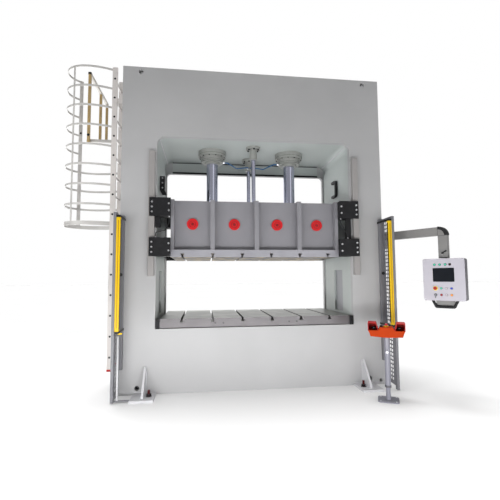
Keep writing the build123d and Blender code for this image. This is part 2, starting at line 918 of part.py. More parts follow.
# Black end caps of the curtains with their flat arms back to the frame's face
with BuildPart() as curtain_brackets:
    arm_rear_x = guard_profile_x - guard_profile / 2 - curtain_bracket_plate / 2
    for side in (-1, 1):
        for cap_z in (curtain_bottom - curtain_cap_height, curtain_bottom + curtain_length):
            with BuildSketch(Plane.XY.offset(cap_z)):
                with Locations((side * curtain_x, guard_front_y)):
                    RectangleRounded(curtain_width, curtain_depth, curtain_fillet)
                with BuildLine():
                    cap_back = guard_front_y + curtain_depth / 2 - curtain_fillet
                    Polyline((side * curtain_x, cap_back),
                             (side * arm_rear_x, guard_front_y + curtain_depth + 2 * curtain_fillet),
                             (side * arm_rear_x, front_y))
                trace(line_width=curtain_bracket_plate)
            extrude(amount=curtain_cap_height)
save(curtain_brackets.part, "curtain_brackets")

with BuildPart() as grommets:
    with BuildSketch(facing_front(front_y - guard_profile)):
        with Locations((-guard_profile_x, grommet_height), (guard_profile_x, grommet_height)):
            Circle(grommet_radius)
    extrude(amount=grommet_proud)
    rims = grommets.edges().filter_by(GeomType.CIRCLE).group_by(Axis.Y)[0]
    chamfer(rims, grommet_proud / 3)
save(grommets.part, "cable_grommets")

# Black stop block with two bolts on the left wall, cable hook on the right wall
with BuildPart() as wall_block:
    with BuildSketch(Plane.YZ.offset(-window_half)):
        with Locations((front_y + wall_block_front, wall_block_bottom)):
            Rectangle(wall_block_depth, wall_block_height, align=Align.MIN)
    extrude(amount=wall_block_thickness)
    chamfer(wall_block.edges().filter_by(Axis.Y).group_by(Axis.X)[-1], guide_block_chamfer)
    with BuildSketch(Plane.YZ.offset(-window_half + wall_block_thickness)):
        with Locations((front_y + wall_block_front + wall_block_depth / 2,
                        wall_block_bottom + wall_block_height / 2)):
            with GridLocations(wall_bolt_pitch_y, wall_bolt_pitch_z, 2, 2):
                Circle(wall_bolt_radius)
    extrude(amount=-wall_bolt_radius, mode=Mode.SUBTRACT)
save(wall_block.part, "wall_stop_block")

with BuildPart() as cable_hook:
    hook_y = front_y + cable_hook_front
    hook_top = cable_hook_bottom + cable_hook_height
    with BuildSketch(Plane.YZ.offset(window_half)):
        with BuildLine():
            far_y = hook_y + cable_hook_depth - cable_hook_bar / 2
            near_y = hook_y + cable_hook_bar / 2
            low_z = cable_hook_bottom + cable_hook_bar / 2
            high_z = hook_top - cable_hook_bar / 2
            FilletPolyline((far_y, low_z), (near_y, low_z), (near_y, high_z), (far_y, high_z),
                           radius=cable_hook_bar)
        trace(line_width=cable_hook_bar)
    extrude(amount=-cable_hook_thickness)
save(cable_hook.part, "cable_hook")


def tube_along(points, radii, radius):
    """A round tube that follows straight runs with an arc at each corner."""
    with BuildPart() as tube:
        with BuildLine() as route:
            FilletPolyline(*points, radius=radii)
        with BuildSketch(Plane(origin=route.wire() @ 0, z_dir=route.wire() % 0)):
            Circle(radius)
        sweep(path=route.wire())
    return tube.part


# Drain tubes sag from the main cylinders' necks to the middle cylinder
neck_z = window_top - main_flange_height - main_neck_height + neck_port_rise
balance_side_z = window_top - balance_body_drop + balance_port_rise
drain_start_x = main_cylinder_x - main_neck_radius
drain_end_x = drain_tube_radius * 2
drain_y = main_cylinder_y
rear_balance_front_y = balance_cylinder_y - balance_body_radius
drain_runs = []
for side in (-1, 1):
    points = [
        (side * (drain_start_x - seat_gap), drain_y, neck_z),
        (side * (drain_start_x - drain_tube_run), drain_y, neck_z),
        (side * drain_tube_low_x, (drain_y + rear_balance_front_y) / 2, neck_z - drain_tube_sag),
        (side * drain_end_x, rear_balance_front_y - drain_tube_run, balance_side_z),
        (side * drain_end_x, rear_balance_front_y - seat_gap, balance_side_z),
    ]
    drain_runs.append(tube_along(points, drain_tube_bend, drain_tube_radius))
with BuildPart() as drain_tubes:
    for run in drain_runs:
        add(run)
save(drain_tubes.part, "drain_tubes")

# Lubrication tubes run from each upper front guide block to the lower one
lube_y = front_y - rail_thickness - guide_plate_thickness / 2
left_top_x = -(slide_width / 2 + left_tube_port)
left_low_x = -(rail_x - left_tube_end)
lower_block_top = lower_block_z + guide_block_height
left_points = [
    (left_top_x, lube_y, upper_block_z),
    (left_top_x, lube_y, upper_block_z - left_tube_drops[0]),
    (left_top_x - left_tube_step, lube_y, upper_block_z - left_tube_drops[1]),
    (left_low_x, lube_y, upper_block_z - left_tube_drops[2]),
    (left_low_x, lube_y, lower_block_top),
]
right_top_x = slide_width / 2 + right_tube_port
right_low_x = right_top_x + right_tube_step
right_points = [
    (right_top_x, lube_y, upper_block_z),
    (right_top_x, lube_y, upper_block_z - right_tube_drop),
    (right_low_x, lube_y, lower_block_top + right_tube_rise),
    (right_low_x, lube_y, lower_block_top),
]
lube_runs = [
    tube_along(left_points, left_tube_bend, lube_tube_radius),
    tube_along(right_points, right_tube_bend, lube_tube_radius),
]
with BuildPart() as lube_tubes:
    for run in lube_runs:
        add(run)
save(lube_tubes.part, "lube_tubes")

# Console stand: floor plate with the fixed inner tube
console_level = turned(console_x, console_y, 0, console_turn)
with BuildPart() as console_stand:
    with BuildSketch(console_level) as stand_plate:
        Rectangle(console_base, console_base)
        chamfer(stand_plate.vertices(), console_base_corner)
    extrude(amount=console_base_plate)
    with BuildSketch(console_level.offset(console_base_plate)):
        Circle(stand_tube_radius)
    extrude(amount=stand_tube_top - console_base_plate)
save(console_stand.part, "console_stand")

# The sliding column with its clamp collar
with BuildPart() as console_column:
    with BuildSketch(console_level.offset(column_bottom)):
        Circle(column_radius)
    extrude(amount=console_bottom - column_bottom)
    with BuildSketch(console_level.offset(column_bottom)):
        Circle(collar_radius)
    extrude(amount=collar_height)
    with BuildSketch(front_of(console_level, 0, 0, knob_height)):
        Circle(knob_boss_radius)
    extrude(amount=column_radius + knob_boss_proud)
    with BuildSketch(console_level.offset(column_bottom)):
        Circle(stand_tube_radius + run_gap)
    extrude(amount=console_bottom - column_bottom - column_end_wall, mode=Mode.SUBTRACT)
    with BuildSketch(front_of(console_level, 0, 0, knob_height)):
        Circle(knob_stem_radius + run_gap)
    extrude(amount=column_radius + knob_boss_proud, mode=Mode.SUBTRACT)
save(console_column.part, "console_column")

knob_seat = -(column_radius + knob_boss_proud + seat_gap)
with BuildPart() as clamp_knob:
    with BuildSketch(front_of(console_level, 0, knob_seat, knob_height)):
        Circle(knob_radius)
        with PolarLocations(knob_radius + knob_flute_offset, knob_flutes):
            Circle(knob_flute_radius, mode=Mode.SUBTRACT)
    extrude(amount=knob_thickness)
    with BuildSketch(front_of(console_level, 0, knob_seat, knob_height)):
        Circle(knob_stem_radius)
    extrude(amount=-knob_stem_length)
save(clamp_knob.part, "console_clamp_knob")

# Console head: a housing with a crowned top between two lower ends
end_level_z = console_bottom + console_end_height
crown_z = console_bottom + console_middle_height
edge_z = console_bottom + console_edge_height
shelf_x = console_width / 2 - shroud_width
palm_x = console_width / 2 - shroud_width / 2 - shroud_slant / 4
crown_sockets = ((0, estop_neck_radius), (console_button_x, console_button_neck))
with BuildPart() as console_head:
    with BuildSketch(front_of(console_level, 0, -console_depth / 2, 0)):
        with BuildLine():
            half = console_width / 2
            foot_half = half - console_foot_inset
            side_half = half - console_side_inset
            side_z = end_level_z - 2 * console_side_inset
            foot_z = console_bottom + console_foot_inset / 3
            Polyline((-foot_half, foot_z), (-side_half, side_z), (-half, end_level_z),
                     (-shelf_x, end_level_z), (-shelf_x + shroud_slant / 2, edge_z),
                     (-crown_flat, crown_z), (crown_flat, crown_z),
                     (shelf_x - shroud_slant / 2, edge_z), (shelf_x, end_level_z), (half, end_level_z),
                     (side_half, side_z), (foot_half, foot_z), (collar_radius, console_bottom),
                     (-collar_radius, console_bottom), close=True)
        make_face()
    extrude(amount=-console_depth)
    end_faces = console_head.faces().filter_by(
        lambda face: abs(abs(console_level.to_local_coords(face.center()).Y) - console_depth / 2) < 1)
    fillet(end_faces.edges(), head_edge_fillet)
    with BuildSketch(console_level.offset(crown_z)):
        for x, socket_radius in crown_sockets:
            with Locations((x, 0)):
                Circle(socket_radius + run_gap)
    extrude(amount=-socket_depth, mode=Mode.SUBTRACT)
    with BuildSketch(console_level.offset(end_level_z)):
        with Locations((-palm_x, 0), (palm_x, 0)):
            Circle(palm_neck_radius + run_gap)
    extrude(amount=-(palm_socket_depth + palm_travel + cap_clearance), mode=Mode.SUBTRACT)
save(console_head.part, "console_head")


def hood_outline(side, inset):
    """The front view of a hood: upright at the outer end, slanted towards the middle."""
    outer = console_width / 2 - inset
    inner = console_width / 2 - shroud_width + inset
    top = end_level_z + shroud_height - inset
    return [(side * outer, end_level_z), (side * outer, top), (side * (inner + shroud_slant), top),
            (side * inner, end_level_z)]


# Red shrouds: open-fronted hoods that keep a sleeve off the palm buttons
with BuildPart() as palm_shrouds:
    for side in (-1, 1):
        with BuildSketch(front_of(console_level, 0, -console_depth / 2, 0)):
            with BuildLine():
                Polyline(*hood_outline(side, 0), close=True)
            make_face()
        extrude(amount=-console_depth)
        with BuildSketch(front_of(console_level, 0, -console_depth / 2, 0)):
            with BuildLine():
                Polyline(*hood_outline(side, shroud_wall), close=True)
            make_face()
        extrude(amount=-(console_depth - shroud_wall), mode=Mode.SUBTRACT)
save(palm_shrouds.part, "palm_shrouds")


def outer_rim(part, plane):
    """The circle of a turned part that stands farthest off its plane."""
    circles = part.edges().filter_by(GeomType.CIRCLE)
    return circles.sort_by(lambda edge: plane.to_local_coords(edge.center()).Z)[-1]


def mushroom_part(plane, socket, neck_radius, neck_length, cap_radius, cap_thickness):
    """A button on a plane: a neck with its lower end in a socket, and a domed cap."""
    with BuildPart() as button:
        with BuildSketch(plane.offset(-socket)):
            Circle(neck_radius)
        extrude(amount=socket + neck_length)
        with BuildSketch(plane.offset(neck_length)):
            Circle(cap_radius)
        extrude(amount=cap_thickness)
        chamfer(outer_rim(button, plane), length=cap_thickness * cap_crown_height,
                length2=cap_radius * cap_crown_width)
    return button.part


palm_level = console_level.offset(end_level_z)
for side_name, side in (("left", -1), ("right", 1)):
    palm_plane = Plane(origin=palm_level.from_local_coords(Vector(side * palm_x, 0, 0)), z_dir=(0, 0, 1))
    save(mushroom_part(palm_plane, palm_socket_depth, palm_neck_radius, 2 * palm_travel, palm_radius,
                       palm_cap_thickness), f"palm_button_{side_name}")

with BuildPart() as estop_collar:
    with BuildSketch(console_level.offset(crown_z)):
        Circle(estop_collar_radius)
        Circle(estop_neck_radius + run_gap, mode=Mode.SUBTRACT)
    extrude(amount=estop_collar_height)
save(estop_collar.part, "console_estop_collar")

estop_neck_length = estop_collar_height + estop_travel + cap_clearance
save(mushroom_part(console_level.offset(crown_z), socket_depth / 2, estop_neck_radius,
                   estop_neck_length, estop_radius, estop_height), "console_estop")

console_button_place = console_level.from_local_coords(Vector(console_button_x, 0, crown_z))
console_button_plane = Plane(origin=console_button_place, z_dir=(0, 0, 1))
save(mushroom_part(console_button_plane, socket_depth / 2, console_button_neck,
                   2 * console_button_travel, console_button_radius, console_button_height),
     "console_button")

# Pendant: wall bracket with its swivel post
swivel_bottom = arm_top - arm_height - swivel_gap - swivel_height
with BuildPart() as pendant_bracket:
    with BuildSketch(Plane.YZ.offset(side_x)):
        with Locations((swivel_y, swivel_bottom + swivel_height)):
            Rectangle(bracket_width, bracket_height, align=(Align.CENTER, Align.MAX))
    extrude(amount=bracket_plate)
    with BuildSketch(facing_front(swivel_y - bracket_gusset / 2)):
        with BuildLine():
            gusset_top = swivel_bottom + swivel_height
            gusset_foot = gusset_top - bracket_height + bracket_gusset_foot
            Polyline((side_x + bracket_plate, gusset_top), (swivel_x, gusset_top),
                     (swivel_x, gusset_top - bracket_gusset_nose), (side_x + bracket_plate, gusset_foot),
                     close=True)
        make_face()
    extrude(amount=-bracket_gusset)
    with BuildSketch(Plane.XY.offset(swivel_bottom)):
        with Locations((swivel_x, swivel_y)):
            Circle(swivel_radius)
    extrude(amount=swivel_height)
save(pendant_bracket.part, "pendant_bracket")

# The arm: a box profile that turns down into the drop tube through a round elbow
arm_level = turned(swivel_x, swivel_y, 0, arm_turn)
arm_side_plane = Plane(origin=(swivel_x, swivel_y, 0), x_dir=arm_level.x_dir, z_dir=-arm_level.y_dir)
drop_bottom = arm_top - arm_height - drop_length
with BuildPart() as pendant_arm:
    with BuildSketch(arm_side_plane.offset(-arm_width / 2)):
        with BuildLine():
            far = arm_length + arm_height / 2
            near = arm_length - arm_height / 2
            Line((-swivel_radius, arm_top - arm_height), (-swivel_radius, arm_top))
            Line((-swivel_radius, arm_top), (far - elbow_radius, arm_top))
            RadiusArc((far - elbow_radius, arm_top), (far, arm_top - elbow_radius), elbow_radius)
            Line((far, arm_top - elbow_radius), (far, drop_bottom))
            Line((far, drop_bottom), (near, drop_bottom))
            Line((near, drop_bottom), (near, arm_top - arm_height))
            Line((near, arm_top - arm_height), (-swivel_radius, arm_top - arm_height))
        make_face()
    extrude(amount=arm_width)
    with BuildSketch(arm_level.offset(arm_top - arm_height - swivel_gap + seat_gap)):
        Circle(swivel_boss_radius)
    extrude(amount=swivel_gap)
save(pendant_arm.part, "pendant_arm")

# Black cap round the elbow's outer corner
with BuildPart() as elbow_cap:
    with BuildSketch(arm_side_plane.offset(-arm_width / 2)):
        with BuildLine():
            centre_x = far - elbow_radius
            centre_z = arm_top - elbow_radius
            outer = elbow_radius + elbow_cap_thickness
            RadiusArc((centre_x, centre_z + outer), (centre_x + outer, centre_z), outer)
            Line((centre_x + outer, centre_z), (centre_x + elbow_radius, centre_z))
            RadiusArc((centre_x + elbow_radius, centre_z), (centre_x, centre_z + elbow_radius), -elbow_radius)
            Line((centre_x, centre_z + elbow_radius), (centre_x, centre_z + outer))
        make_face()
    extrude(amount=arm_width)
save(elbow_cap.part, "arm_elbow_cap")

# Clamp lever low on the drop tube's left side
drop_centre = arm_level.from_local_coords(Vector(arm_length, 0, 0))
lever_z = drop_bottom + lever_rise
lever_seat = arm_level.from_local_coords(Vector(arm_length, -arm_width / 2 - seat_gap, lever_z))
lever_plane = Plane(origin=lever_seat, x_dir=arm_level.x_dir, z_dir=-arm_level.y_dir)
with BuildPart() as clamp_lever:
    with BuildSketch(lever_plane):
        Circle(lever_hub_radius)
    extrude(amount=lever_hub_length)
    with BuildSketch(lever_plane.offset(lever_hub_length)):
        with BuildLine():
            Line((0, 0), (lever_length * cos(radians(lever_angle)), lever_length * sin(radians(lever_angle))))
        trace(line_width=lever_width)
        Circle(lever_hub_radius)
    extrude(amount=lever_thickness)
save(clamp_lever.part, "pendant_clamp_lever")

# Pendant housing with its neck plate under the drop tube
pendant_level = turned(drop_centre.X, drop_centre.Y, 0, pendant_turn)
pendant_top = drop_bottom - pendant_neck_height - seat_gap
pendant_bottom = pendant_top - pendant_height
pendant_face_y = -pendant_depth / 2
with BuildPart() as pendant_box:
    with BuildSketch(front_of(pendant_level, 0, pendant_face_y, pendant_top - pendant_height / 2)):
        RectangleRounded(pendant_width, pendant_height, pendant_corner)
    extrude(amount=-pendant_depth)
    with BuildSketch(pendant_level.offset(pendant_top)):
        Circle(pendant_neck_radius)
    extrude(amount=pendant_neck_height)
    front_face = pendant_box.faces().sort_by(lambda f: pendant_level.to_local_coords(f.center()).Y)[0]
    fillet(front_face.edges(), pendant_edge)
    holes = [(x, -drop) for drop in (upper_button_drop, lower_button_drop) for x in button_columns]
    with BuildSketch(front_of(pendant_level, 0, pendant_face_y, pendant_top)):
        with Locations(*holes):
            Circle(button_radius + seat_gap)
    extrude(amount=-(button_depth + button_travel + 2 * cap_clearance), mode=Mode.SUBTRACT)
save(pendant_box.part, "pendant_box")

screen_z = pendant_top - screen_drop - screen_height / 2
with BuildPart() as pendant_screen:
    with BuildSketch(front_of(pendant_level, 0, pendant_face_y, screen_z)):
        RectangleRounded(screen_width + 2 * screen_bezel, screen_height + 2 * screen_bezel, screen_corner)
    extrude(amount=screen_proud)
    with BuildSketch(front_of(pendant_level, 0, pendant_face_y - screen_proud, screen_z)):
        Rectangle(screen_width, screen_height)
    extrude(amount=-screen_recess, mode=Mode.SUBTRACT)
save(pendant_screen.part, "pendant_screen")

with BuildPart() as pendant_lamps:
    with BuildSketch(front_of(pendant_level, 0, pendant_face_y, pendant_top - lamp_drop)):
        with Locations(*[(x, 0) for x in lamp_columns]):
            Circle(lamp_radius)
    extrude(amount=lamp_proud)
    lens_rims = pendant_lamps.edges().filter_by(GeomType.CIRCLE).group_by(
        lambda e: round(pendant_level.to_local_coords(e.center()).Y, 1))[0]
    chamfer(lens_rims, button_chamfer)
save(pendant_lamps.part, "pendant_lamps")

# The handle is a bent bar whose ends are cut off level at the housing's underside
handle_foot = handle_width / 2
handle_hand = handle_foot - handle_taper
handle_low = handle_bar / 2 - handle_drop
handle_y = pendant_face_y + handle_setback - handle_bar / 2
with BuildPart() as pendant_handle:
    with BuildSketch(front_of(pendant_level, 0, handle_y, pendant_bottom)):
        with BuildLine():
            FilletPolyline((-handle_foot, 0), (-handle_hand, handle_low), (handle_hand, handle_low),
                           (handle_foot, 0), radius=handle_bend)
        trace(line_width=handle_bar)
    extrude(amount=-handle_bar)
    split(bisect_by=pendant_level.offset(pendant_bottom), keep=Keep.BOTTOM)
save(pendant_handle.part, "pendant_handle")


def push_button_part(x, drop):
    """A round push button whose stem runs in the housing's hole."""
    plane = front_of(pendant_level, x, pendant_face_y, pendant_top - drop)
    with BuildPart() as button:
        with BuildSketch(plane.offset(-button_depth)):
            Circle(button_radius)
        extrude(amount=button_depth + button_proud)
        chamfer(outer_rim(button, plane), button_chamfer)
    return button.part


button_rows = (
    ("green_button", button_columns[1], upper_button_drop),
    ("white_button_upper", button_columns[2], upper_button_drop),
    ("blue_button", button_columns[3], upper_button_drop),
    ("red_button", button_columns[1], lower_button_drop),
    ("white_button_lower", button_columns[2], lower_button_drop),
    ("amber_button", button_columns[3], lower_button_drop),
)
for name, x, drop in button_rows:
    save(push_button_part(x, drop), name)

estop_face = front_of(pendant_level, button_columns[0], pendant_face_y, pendant_top - upper_button_drop)
with BuildPart() as pendant_estop:
    with BuildSketch(estop_face.offset(-button_depth)):
        Circle(button_radius)
    extrude(amount=button_depth + pendant_estop_cap)
    with BuildSketch(estop_face.offset(pendant_estop_stem)):
        Circle(pendant_estop_radius)
    extrude(amount=pendant_estop_cap)
    chamfer(outer_rim(pendant_estop, estop_face), 2 * button_chamfer)
save(pendant_estop.part, "pendant_estop")

key_face = front_of(pendant_level, button_columns[0], pendant_face_y, pendant_top - lower_button_drop)
with BuildPart() as key_switch:
    with BuildSketch(key_face.offset(-button_depth)):
        Circle(button_radius)
    extrude(amount=button_depth + key_collar)
    with BuildSketch(key_face.offset(seat_gap)):
        Circle(key_radius)
    extrude(amount=key_collar - seat_gap)
    with BuildSketch(key_face.offset(key_collar)):
        with Locations((0, -key_bow_drop)):
            SlotOverall(key_bow_length, key_bow_width, rotation=90)
    extrude(amount=key_thickness)
save(key_switch.part, "pendant_key_switch")
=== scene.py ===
"""Looks of the hydraulic press: finishes, small fittings, floor, light and camera.

All places are in the frame of the CAD model. Sizes of the fittings are in millimetres and become
metres through MM. The floor, the lamps and the camera are placed in metres.
"""

from math import cos, pi, radians, sin, tau

import bmesh
import bpy
from mathutils import Matrix, Vector


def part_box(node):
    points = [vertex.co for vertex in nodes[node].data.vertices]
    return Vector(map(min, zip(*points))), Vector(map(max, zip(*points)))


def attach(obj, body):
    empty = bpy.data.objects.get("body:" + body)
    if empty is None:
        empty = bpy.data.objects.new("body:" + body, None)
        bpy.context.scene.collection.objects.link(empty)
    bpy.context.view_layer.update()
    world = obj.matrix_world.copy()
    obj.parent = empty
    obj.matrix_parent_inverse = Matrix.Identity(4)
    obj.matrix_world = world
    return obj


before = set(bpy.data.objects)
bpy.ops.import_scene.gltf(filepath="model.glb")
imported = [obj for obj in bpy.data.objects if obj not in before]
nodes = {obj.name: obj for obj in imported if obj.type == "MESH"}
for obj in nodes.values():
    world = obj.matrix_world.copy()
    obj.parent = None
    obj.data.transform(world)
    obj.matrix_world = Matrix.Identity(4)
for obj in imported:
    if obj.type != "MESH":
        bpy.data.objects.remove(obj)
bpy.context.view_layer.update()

MM = 0.001

# Colours as they look on each finish
FRAME_GREY = "#ADADAE"
LINER_GREY = "#B2B8B6"
DUCT_GREY = "#9A9BA0"
SLIDE_GREY = "#87868B"
RAIL_BRONZE = "#979493"
FOOT_GREY = "#C9C9CC"
CYLINDER_GREY = "#90928E"
BOLSTER_STEEL = "#646163"
# Painted reflection: the bolster's top is painted paler than its sides
PAINTED_TOP_REFLECTION = ("#8B8D89", "#A2A39F")
DIE_PLATE_STEEL = "#A3A2A9"
# Painted shade with a painted golden reflection on the die plate's underside
UNDERSIDE_SHADE_AND_REFLECTION = ("#2E2822", "#8F7747")
BLACK_OXIDE = "#1A1A1C"
CHROME = "#C6C8DA"
ZINC = "#D5D5D8"
BEZEL_GREY = "#77767B"
ANCHOR_BROWN = "#3A3436"
PRIMER_BROWN = "#6E2F30"
DISC_RED = "#C4161C"
DISC_GROOVE_SHADE_RED = "#860C10"
# Painted shade: a darker red for the dark line of each disc's recessed groove
LADDER_CREAM = "#DAD5D2"
CAGE_GREY = "#C6C4C1"
RAIL_TAN = "#B39A6C"
GUARD_GREY = "#76767B"
CURTAIN_YELLOW = "#E2BA0C"
STRIP_OCHRE = "#B98A1C"
STOP_YELLOW = "#F4D21C"
STAND_GREY = "#84848F"
HEAD_ORANGE = "#AC3604"
HOOD_RED = "#B01410"
BOX_LILAC = "#BBB8C1"
BOX_SIDE_GREY = "#56555B"
ARM_GREY = "#838281"
BLACK = "#131315"
SCREEN_BLACK = "#171A20"
BUTTON_RED = "#A20F17"
BUTTON_WHITE = "#CFC5CC"
BUTTON_BLUE = "#3B4FC4"
BUTTON_AMBER = "#F09A2E"
LENS_GREEN = "#4FBFA0"
LENS_DARK = "#22090F"
TUBE_BLUE = "#39638E"
FLOOR_PALE = "#CFCFCF"


def in_mm(box):
    """The lowest and highest corners of a CAD node's box, in millimetres."""
    return [corner / MM for corner in box]


# Places and sizes of the CAD model that the fittings follow
LINER_SHEET = 30
LINER_CORNER = 110
REAR_WINDOW_TOP = 3190
PLATE_INNER_Y, FACE_Y = [corner.y for corner in in_mm(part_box("rear_plate"))]
liner_high = in_mm(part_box("window_liner"))[1]
WINDOW_HALF = liner_high.x - LINER_SHEET
WINDOW_TOP = liner_high.z - LINER_SHEET
CYLINDER_X = 594
CYLINDER_Y = -20
NECK_RADIUS = 166
NECK_HEIGHT = 80
FLANGE_RADIUS = 207
FLANGE_HEIGHT = 88
BALANCE_Y = 290
BALANCE_RADIUS = 56
GUIDE_BLOCK_HEIGHT = 242
FOOT_X = 1454
LADDER_X = -1970
STILE_FACE_Y, STILE_BACK_Y = [corner.y for corner in in_mm(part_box("ladder_stiles"))]
RUNG_FIRST = 419
RUNG_PITCH = 277
RUNG_COUNT = 15
HOOP_COUNT = 9
CURTAIN_X = 1750
CURTAIN_Y = -905
CONSOLE_CENTRE = (1482, -1250)
CONSOLE_TURN = -27
ARM_SWIVEL = (1872, -560)
ARM_TURN = -59.5
PENDANT_CENTRE = (2281.1, -1254.5)
PENDANT_TURN = -47
PENDANT_TOP = 1694.7
PENDANT_FACE = -85
PENDANT_SIZE = (470, 520)
PENDANT_CORNER = 22
LAMP_COLUMNS = (-97, -38, 25, 75)
LAMP_DROP = 74
STOP_COLUMN = -97
BUTTON_COLUMNS = (-31, 27, 84)
UPPER_ROW = 368
LOWER_ROW = 449


def linear(hex_colour):
    """An sRGB hex colour as linear RGBA."""
    parts = [int(hex_colour[i:i + 2], 16) / 255 for i in (1, 3, 5)]
    return [c / 12.92 if c <= 0.04045 else ((c + 0.055) / 1.055) ** 2.4 for c in parts] + [1]


def add_node(tree, kind, settings=None, inputs=None):
    """Adds a node with its settings, and each input as a value or as the socket that feeds it."""
    node = tree.nodes.new(kind)
    for key, value in (settings or {}).items():
        setattr(node, key, value)
    for key, value in (inputs or {}).items():
        if isinstance(value, bpy.types.NodeSocket):
            tree.links.new(value, node.inputs[key])
        else:
            node.inputs[key].default_value = value
    return node


def calculate(tree, operation, *values):
    """The result of a math node that is fed with these values or sockets."""
    return add_node(tree, "ShaderNodeMath", {"operation": operation}, dict(enumerate(values))).outputs[0]


def place_texture(tree, stretch=(1, 1, 1)):
    """Object coordinates in metres, stretched along an axis for drawn-out patterns."""
    coordinates = add_node(tree, "ShaderNodeTexCoord")
    mapping = add_node(tree, "ShaderNodeMapping",
                       inputs={"Vector": coordinates.outputs["Object"], "Scale": stretch})
    return mapping.outputs["Vector"]


def per_mm(size):
    """The texture scale at which one cell of a pattern is that many millimetres."""
    return 1000 / size


def noise(tree, cell_mm, detail=2, roughness=0.5, stretch=(1, 1, 1)):
    """The levels of a noise with cells of that many millimetres."""
    texture = add_node(tree, "ShaderNodeTexNoise",
                       inputs={"Vector": place_texture(tree, stretch), "Scale": per_mm(cell_mm),
                               "Detail": detail, "Roughness": roughness})
    return texture.outputs["Fac"]


def new_material(name, surface):
    """A material with these values of its shader: returns the material, its node tree and the shader."""
    material = bpy.data.materials.new(name)
    material.use_nodes = True
    tree = material.node_tree
    shader = tree.nodes["Principled BSDF"]
    for key, value in surface.items():
        shader.inputs[key].default_value = value
    return material, tree, shader


def tint(tree, shader, colour, low, high, factor):
    """Varies the base colour between two strengths of one colour."""
    base = Vector(linear(colour)[:3])
    ramp = add_node(tree, "ShaderNodeValToRGB", inputs={"Fac": factor})
    for element, strength, position in zip(ramp.color_ramp.elements, (low, high), (0.3, 0.7)):
        element.color = [*(base * strength), 1]
        element.position = position
    tree.links.new(ramp.outputs["Color"], shader.inputs["Base Color"])


def bump(tree, shader, height, strength, distance_mm):
    """Fine relief from a pattern's heights."""
    node = add_node(tree, "ShaderNodeBump", inputs={"Height": height, "Strength": strength,
                                                    "Distance": distance_mm * MM})
    tree.links.new(node.outputs["Normal"], shader.inputs["Normal"])


def sprayed_enamel(name, colour, roughness=0.42, patch_mm=900, spread=0.05, gloss=0.4):
    """Sprayed machine enamel on steel: a faint orange peel and broad, quiet patches of tone."""
    # The peel of real enamel is 1 to 3 mm; it is drawn at 9 mm so that it shows on a press this large
    peel_mm = 9
    material, tree, shader = new_material(name, {"Roughness": roughness, "Specular IOR Level": gloss})
    tint(tree, shader, colour, 1 - spread, 1 + spread, noise(tree, patch_mm, detail=4))
    bump(tree, shader, noise(tree, peel_mm), strength=0.12, distance_mm=0.6)
    return material


def machined_steel(name, colour):
    """Bare milled steel: long parallel tool marks and slight staining from oil."""
    # Real tool marks lie under 1 mm apart; they are drawn at 10 mm so that they show
    lay_mm = 10
    along_x = (0.05, 1, 1)
    stain_mm = 260
    material, tree, shader = new_material(name, {"Metallic": 0.35, "Roughness": 0.38})
    marks = noise(tree, lay_mm, detail=3, stretch=along_x)
    stains = noise(tree, stain_mm, detail=5)
    mixed = add_node(tree, "ShaderNodeMix", inputs={"Factor": 0.35, "A": stains, "B": marks})
    tint(tree, shader, colour, 0.82, 1.12, mixed.outputs["Result"])
    bump(tree, shader, marks, strength=0.15, distance_mm=0.2)
    return material


def colour_level_faces(material, way, colours, patch_mm):
    """Blotches of two colours, painted light, on the faces that look straight up (way 1) or down (way -1).
    """
    # The mix node's colour sockets by number, because its other sockets bear the same names
    first_colour, second_colour, mixed_colour = 6, 7, 2
    nearly_level = 0.9
    tree = material.node_tree
    shader = tree.nodes["Principled BSDF"]
    own_colour = shader.inputs["Base Color"].links[0].from_socket
    # Painted light: a painted reflection on faces looking up, painted shade on faces looking down
    painted_light_blotches = add_node(tree, "ShaderNodeValToRGB", inputs={"Fac": noise(tree, patch_mm, detail=1)})
    for element, colour, position in zip(painted_light_blotches.color_ramp.elements, colours, (0.46, 0.58)):
        element.color = linear(colour)
        element.position = position
    geometry = add_node(tree, "ShaderNodeNewGeometry")
    normal = add_node(tree, "ShaderNodeSeparateXYZ", inputs={"Vector": geometry.outputs["True Normal"]})
    level = calculate(tree, "MULTIPLY", normal.outputs["Z"], way)
    chosen = calculate(tree, "GREATER_THAN", level, nearly_level)
    mixed = add_node(tree, "ShaderNodeMix", {"data_type": "RGBA"},
                     {"Factor": chosen, first_colour: own_colour, second_colour: painted_light_blotches.outputs["Color"]})
    tree.links.new(mixed.outputs[mixed_colour], shader.inputs["Base Color"])


def black_oxide_steel(name):
    """Hot-blackened steel with an oil film: near black, satin, with worn lighter scuffs."""
    material, tree, shader = new_material(name, {"Roughness": 0.45, "Specular IOR Level": 0.2})
    scuffs = noise(tree, 45, detail=8, roughness=0.7)
    tint(tree, shader, BLACK_OXIDE, 0.75, 1.6, scuffs)
    bump(tree, shader, scuffs, strength=0.08, distance_mm=0.3)
    return material


def hard_chrome(name):
    """Ground and hard-chromed rod: mirror bright with a faint ring lay round the rod."""
    round_rod = (0.02, 0.02, 1)
    material, tree, shader = new_material(name, {"Metallic": 1, "Roughness": 0.12})
    lay = noise(tree, 3, stretch=round_rod)
    tint(tree, shader, CHROME, 0.96, 1.02, lay)
    bump(tree, shader, lay, strength=0.03, distance_mm=0.05)
    return material


def zinc_plated_steel(name, colour):
    """Zinc-plated steel, bright or weathered: satin, with slightly cloudy crystals of plating."""
    material, tree, shader = new_material(name, {"Metallic": 0.9, "Roughness": 0.28})
    tint(tree, shader, colour, 0.85, 1.1, noise(tree, 6, detail=3))
    return material


def moulded_plastic(name, colour, roughness=0.4, coat=0.0):
    """Moulded ABS or nylon: even colour with the fine spark-eroded grain of its mould."""
    grain_mm = 2.5
    material, tree, shader = new_material(name, {"Roughness": roughness, "Specular IOR Level": 0.3,
                                                 "Coat Weight": coat})
    grain = noise(tree, grain_mm)
    tint(tree, shader, colour, 0.95, 1.05, grain)
    bump(tree, shader, grain, strength=0.1, distance_mm=0.15)
    return material


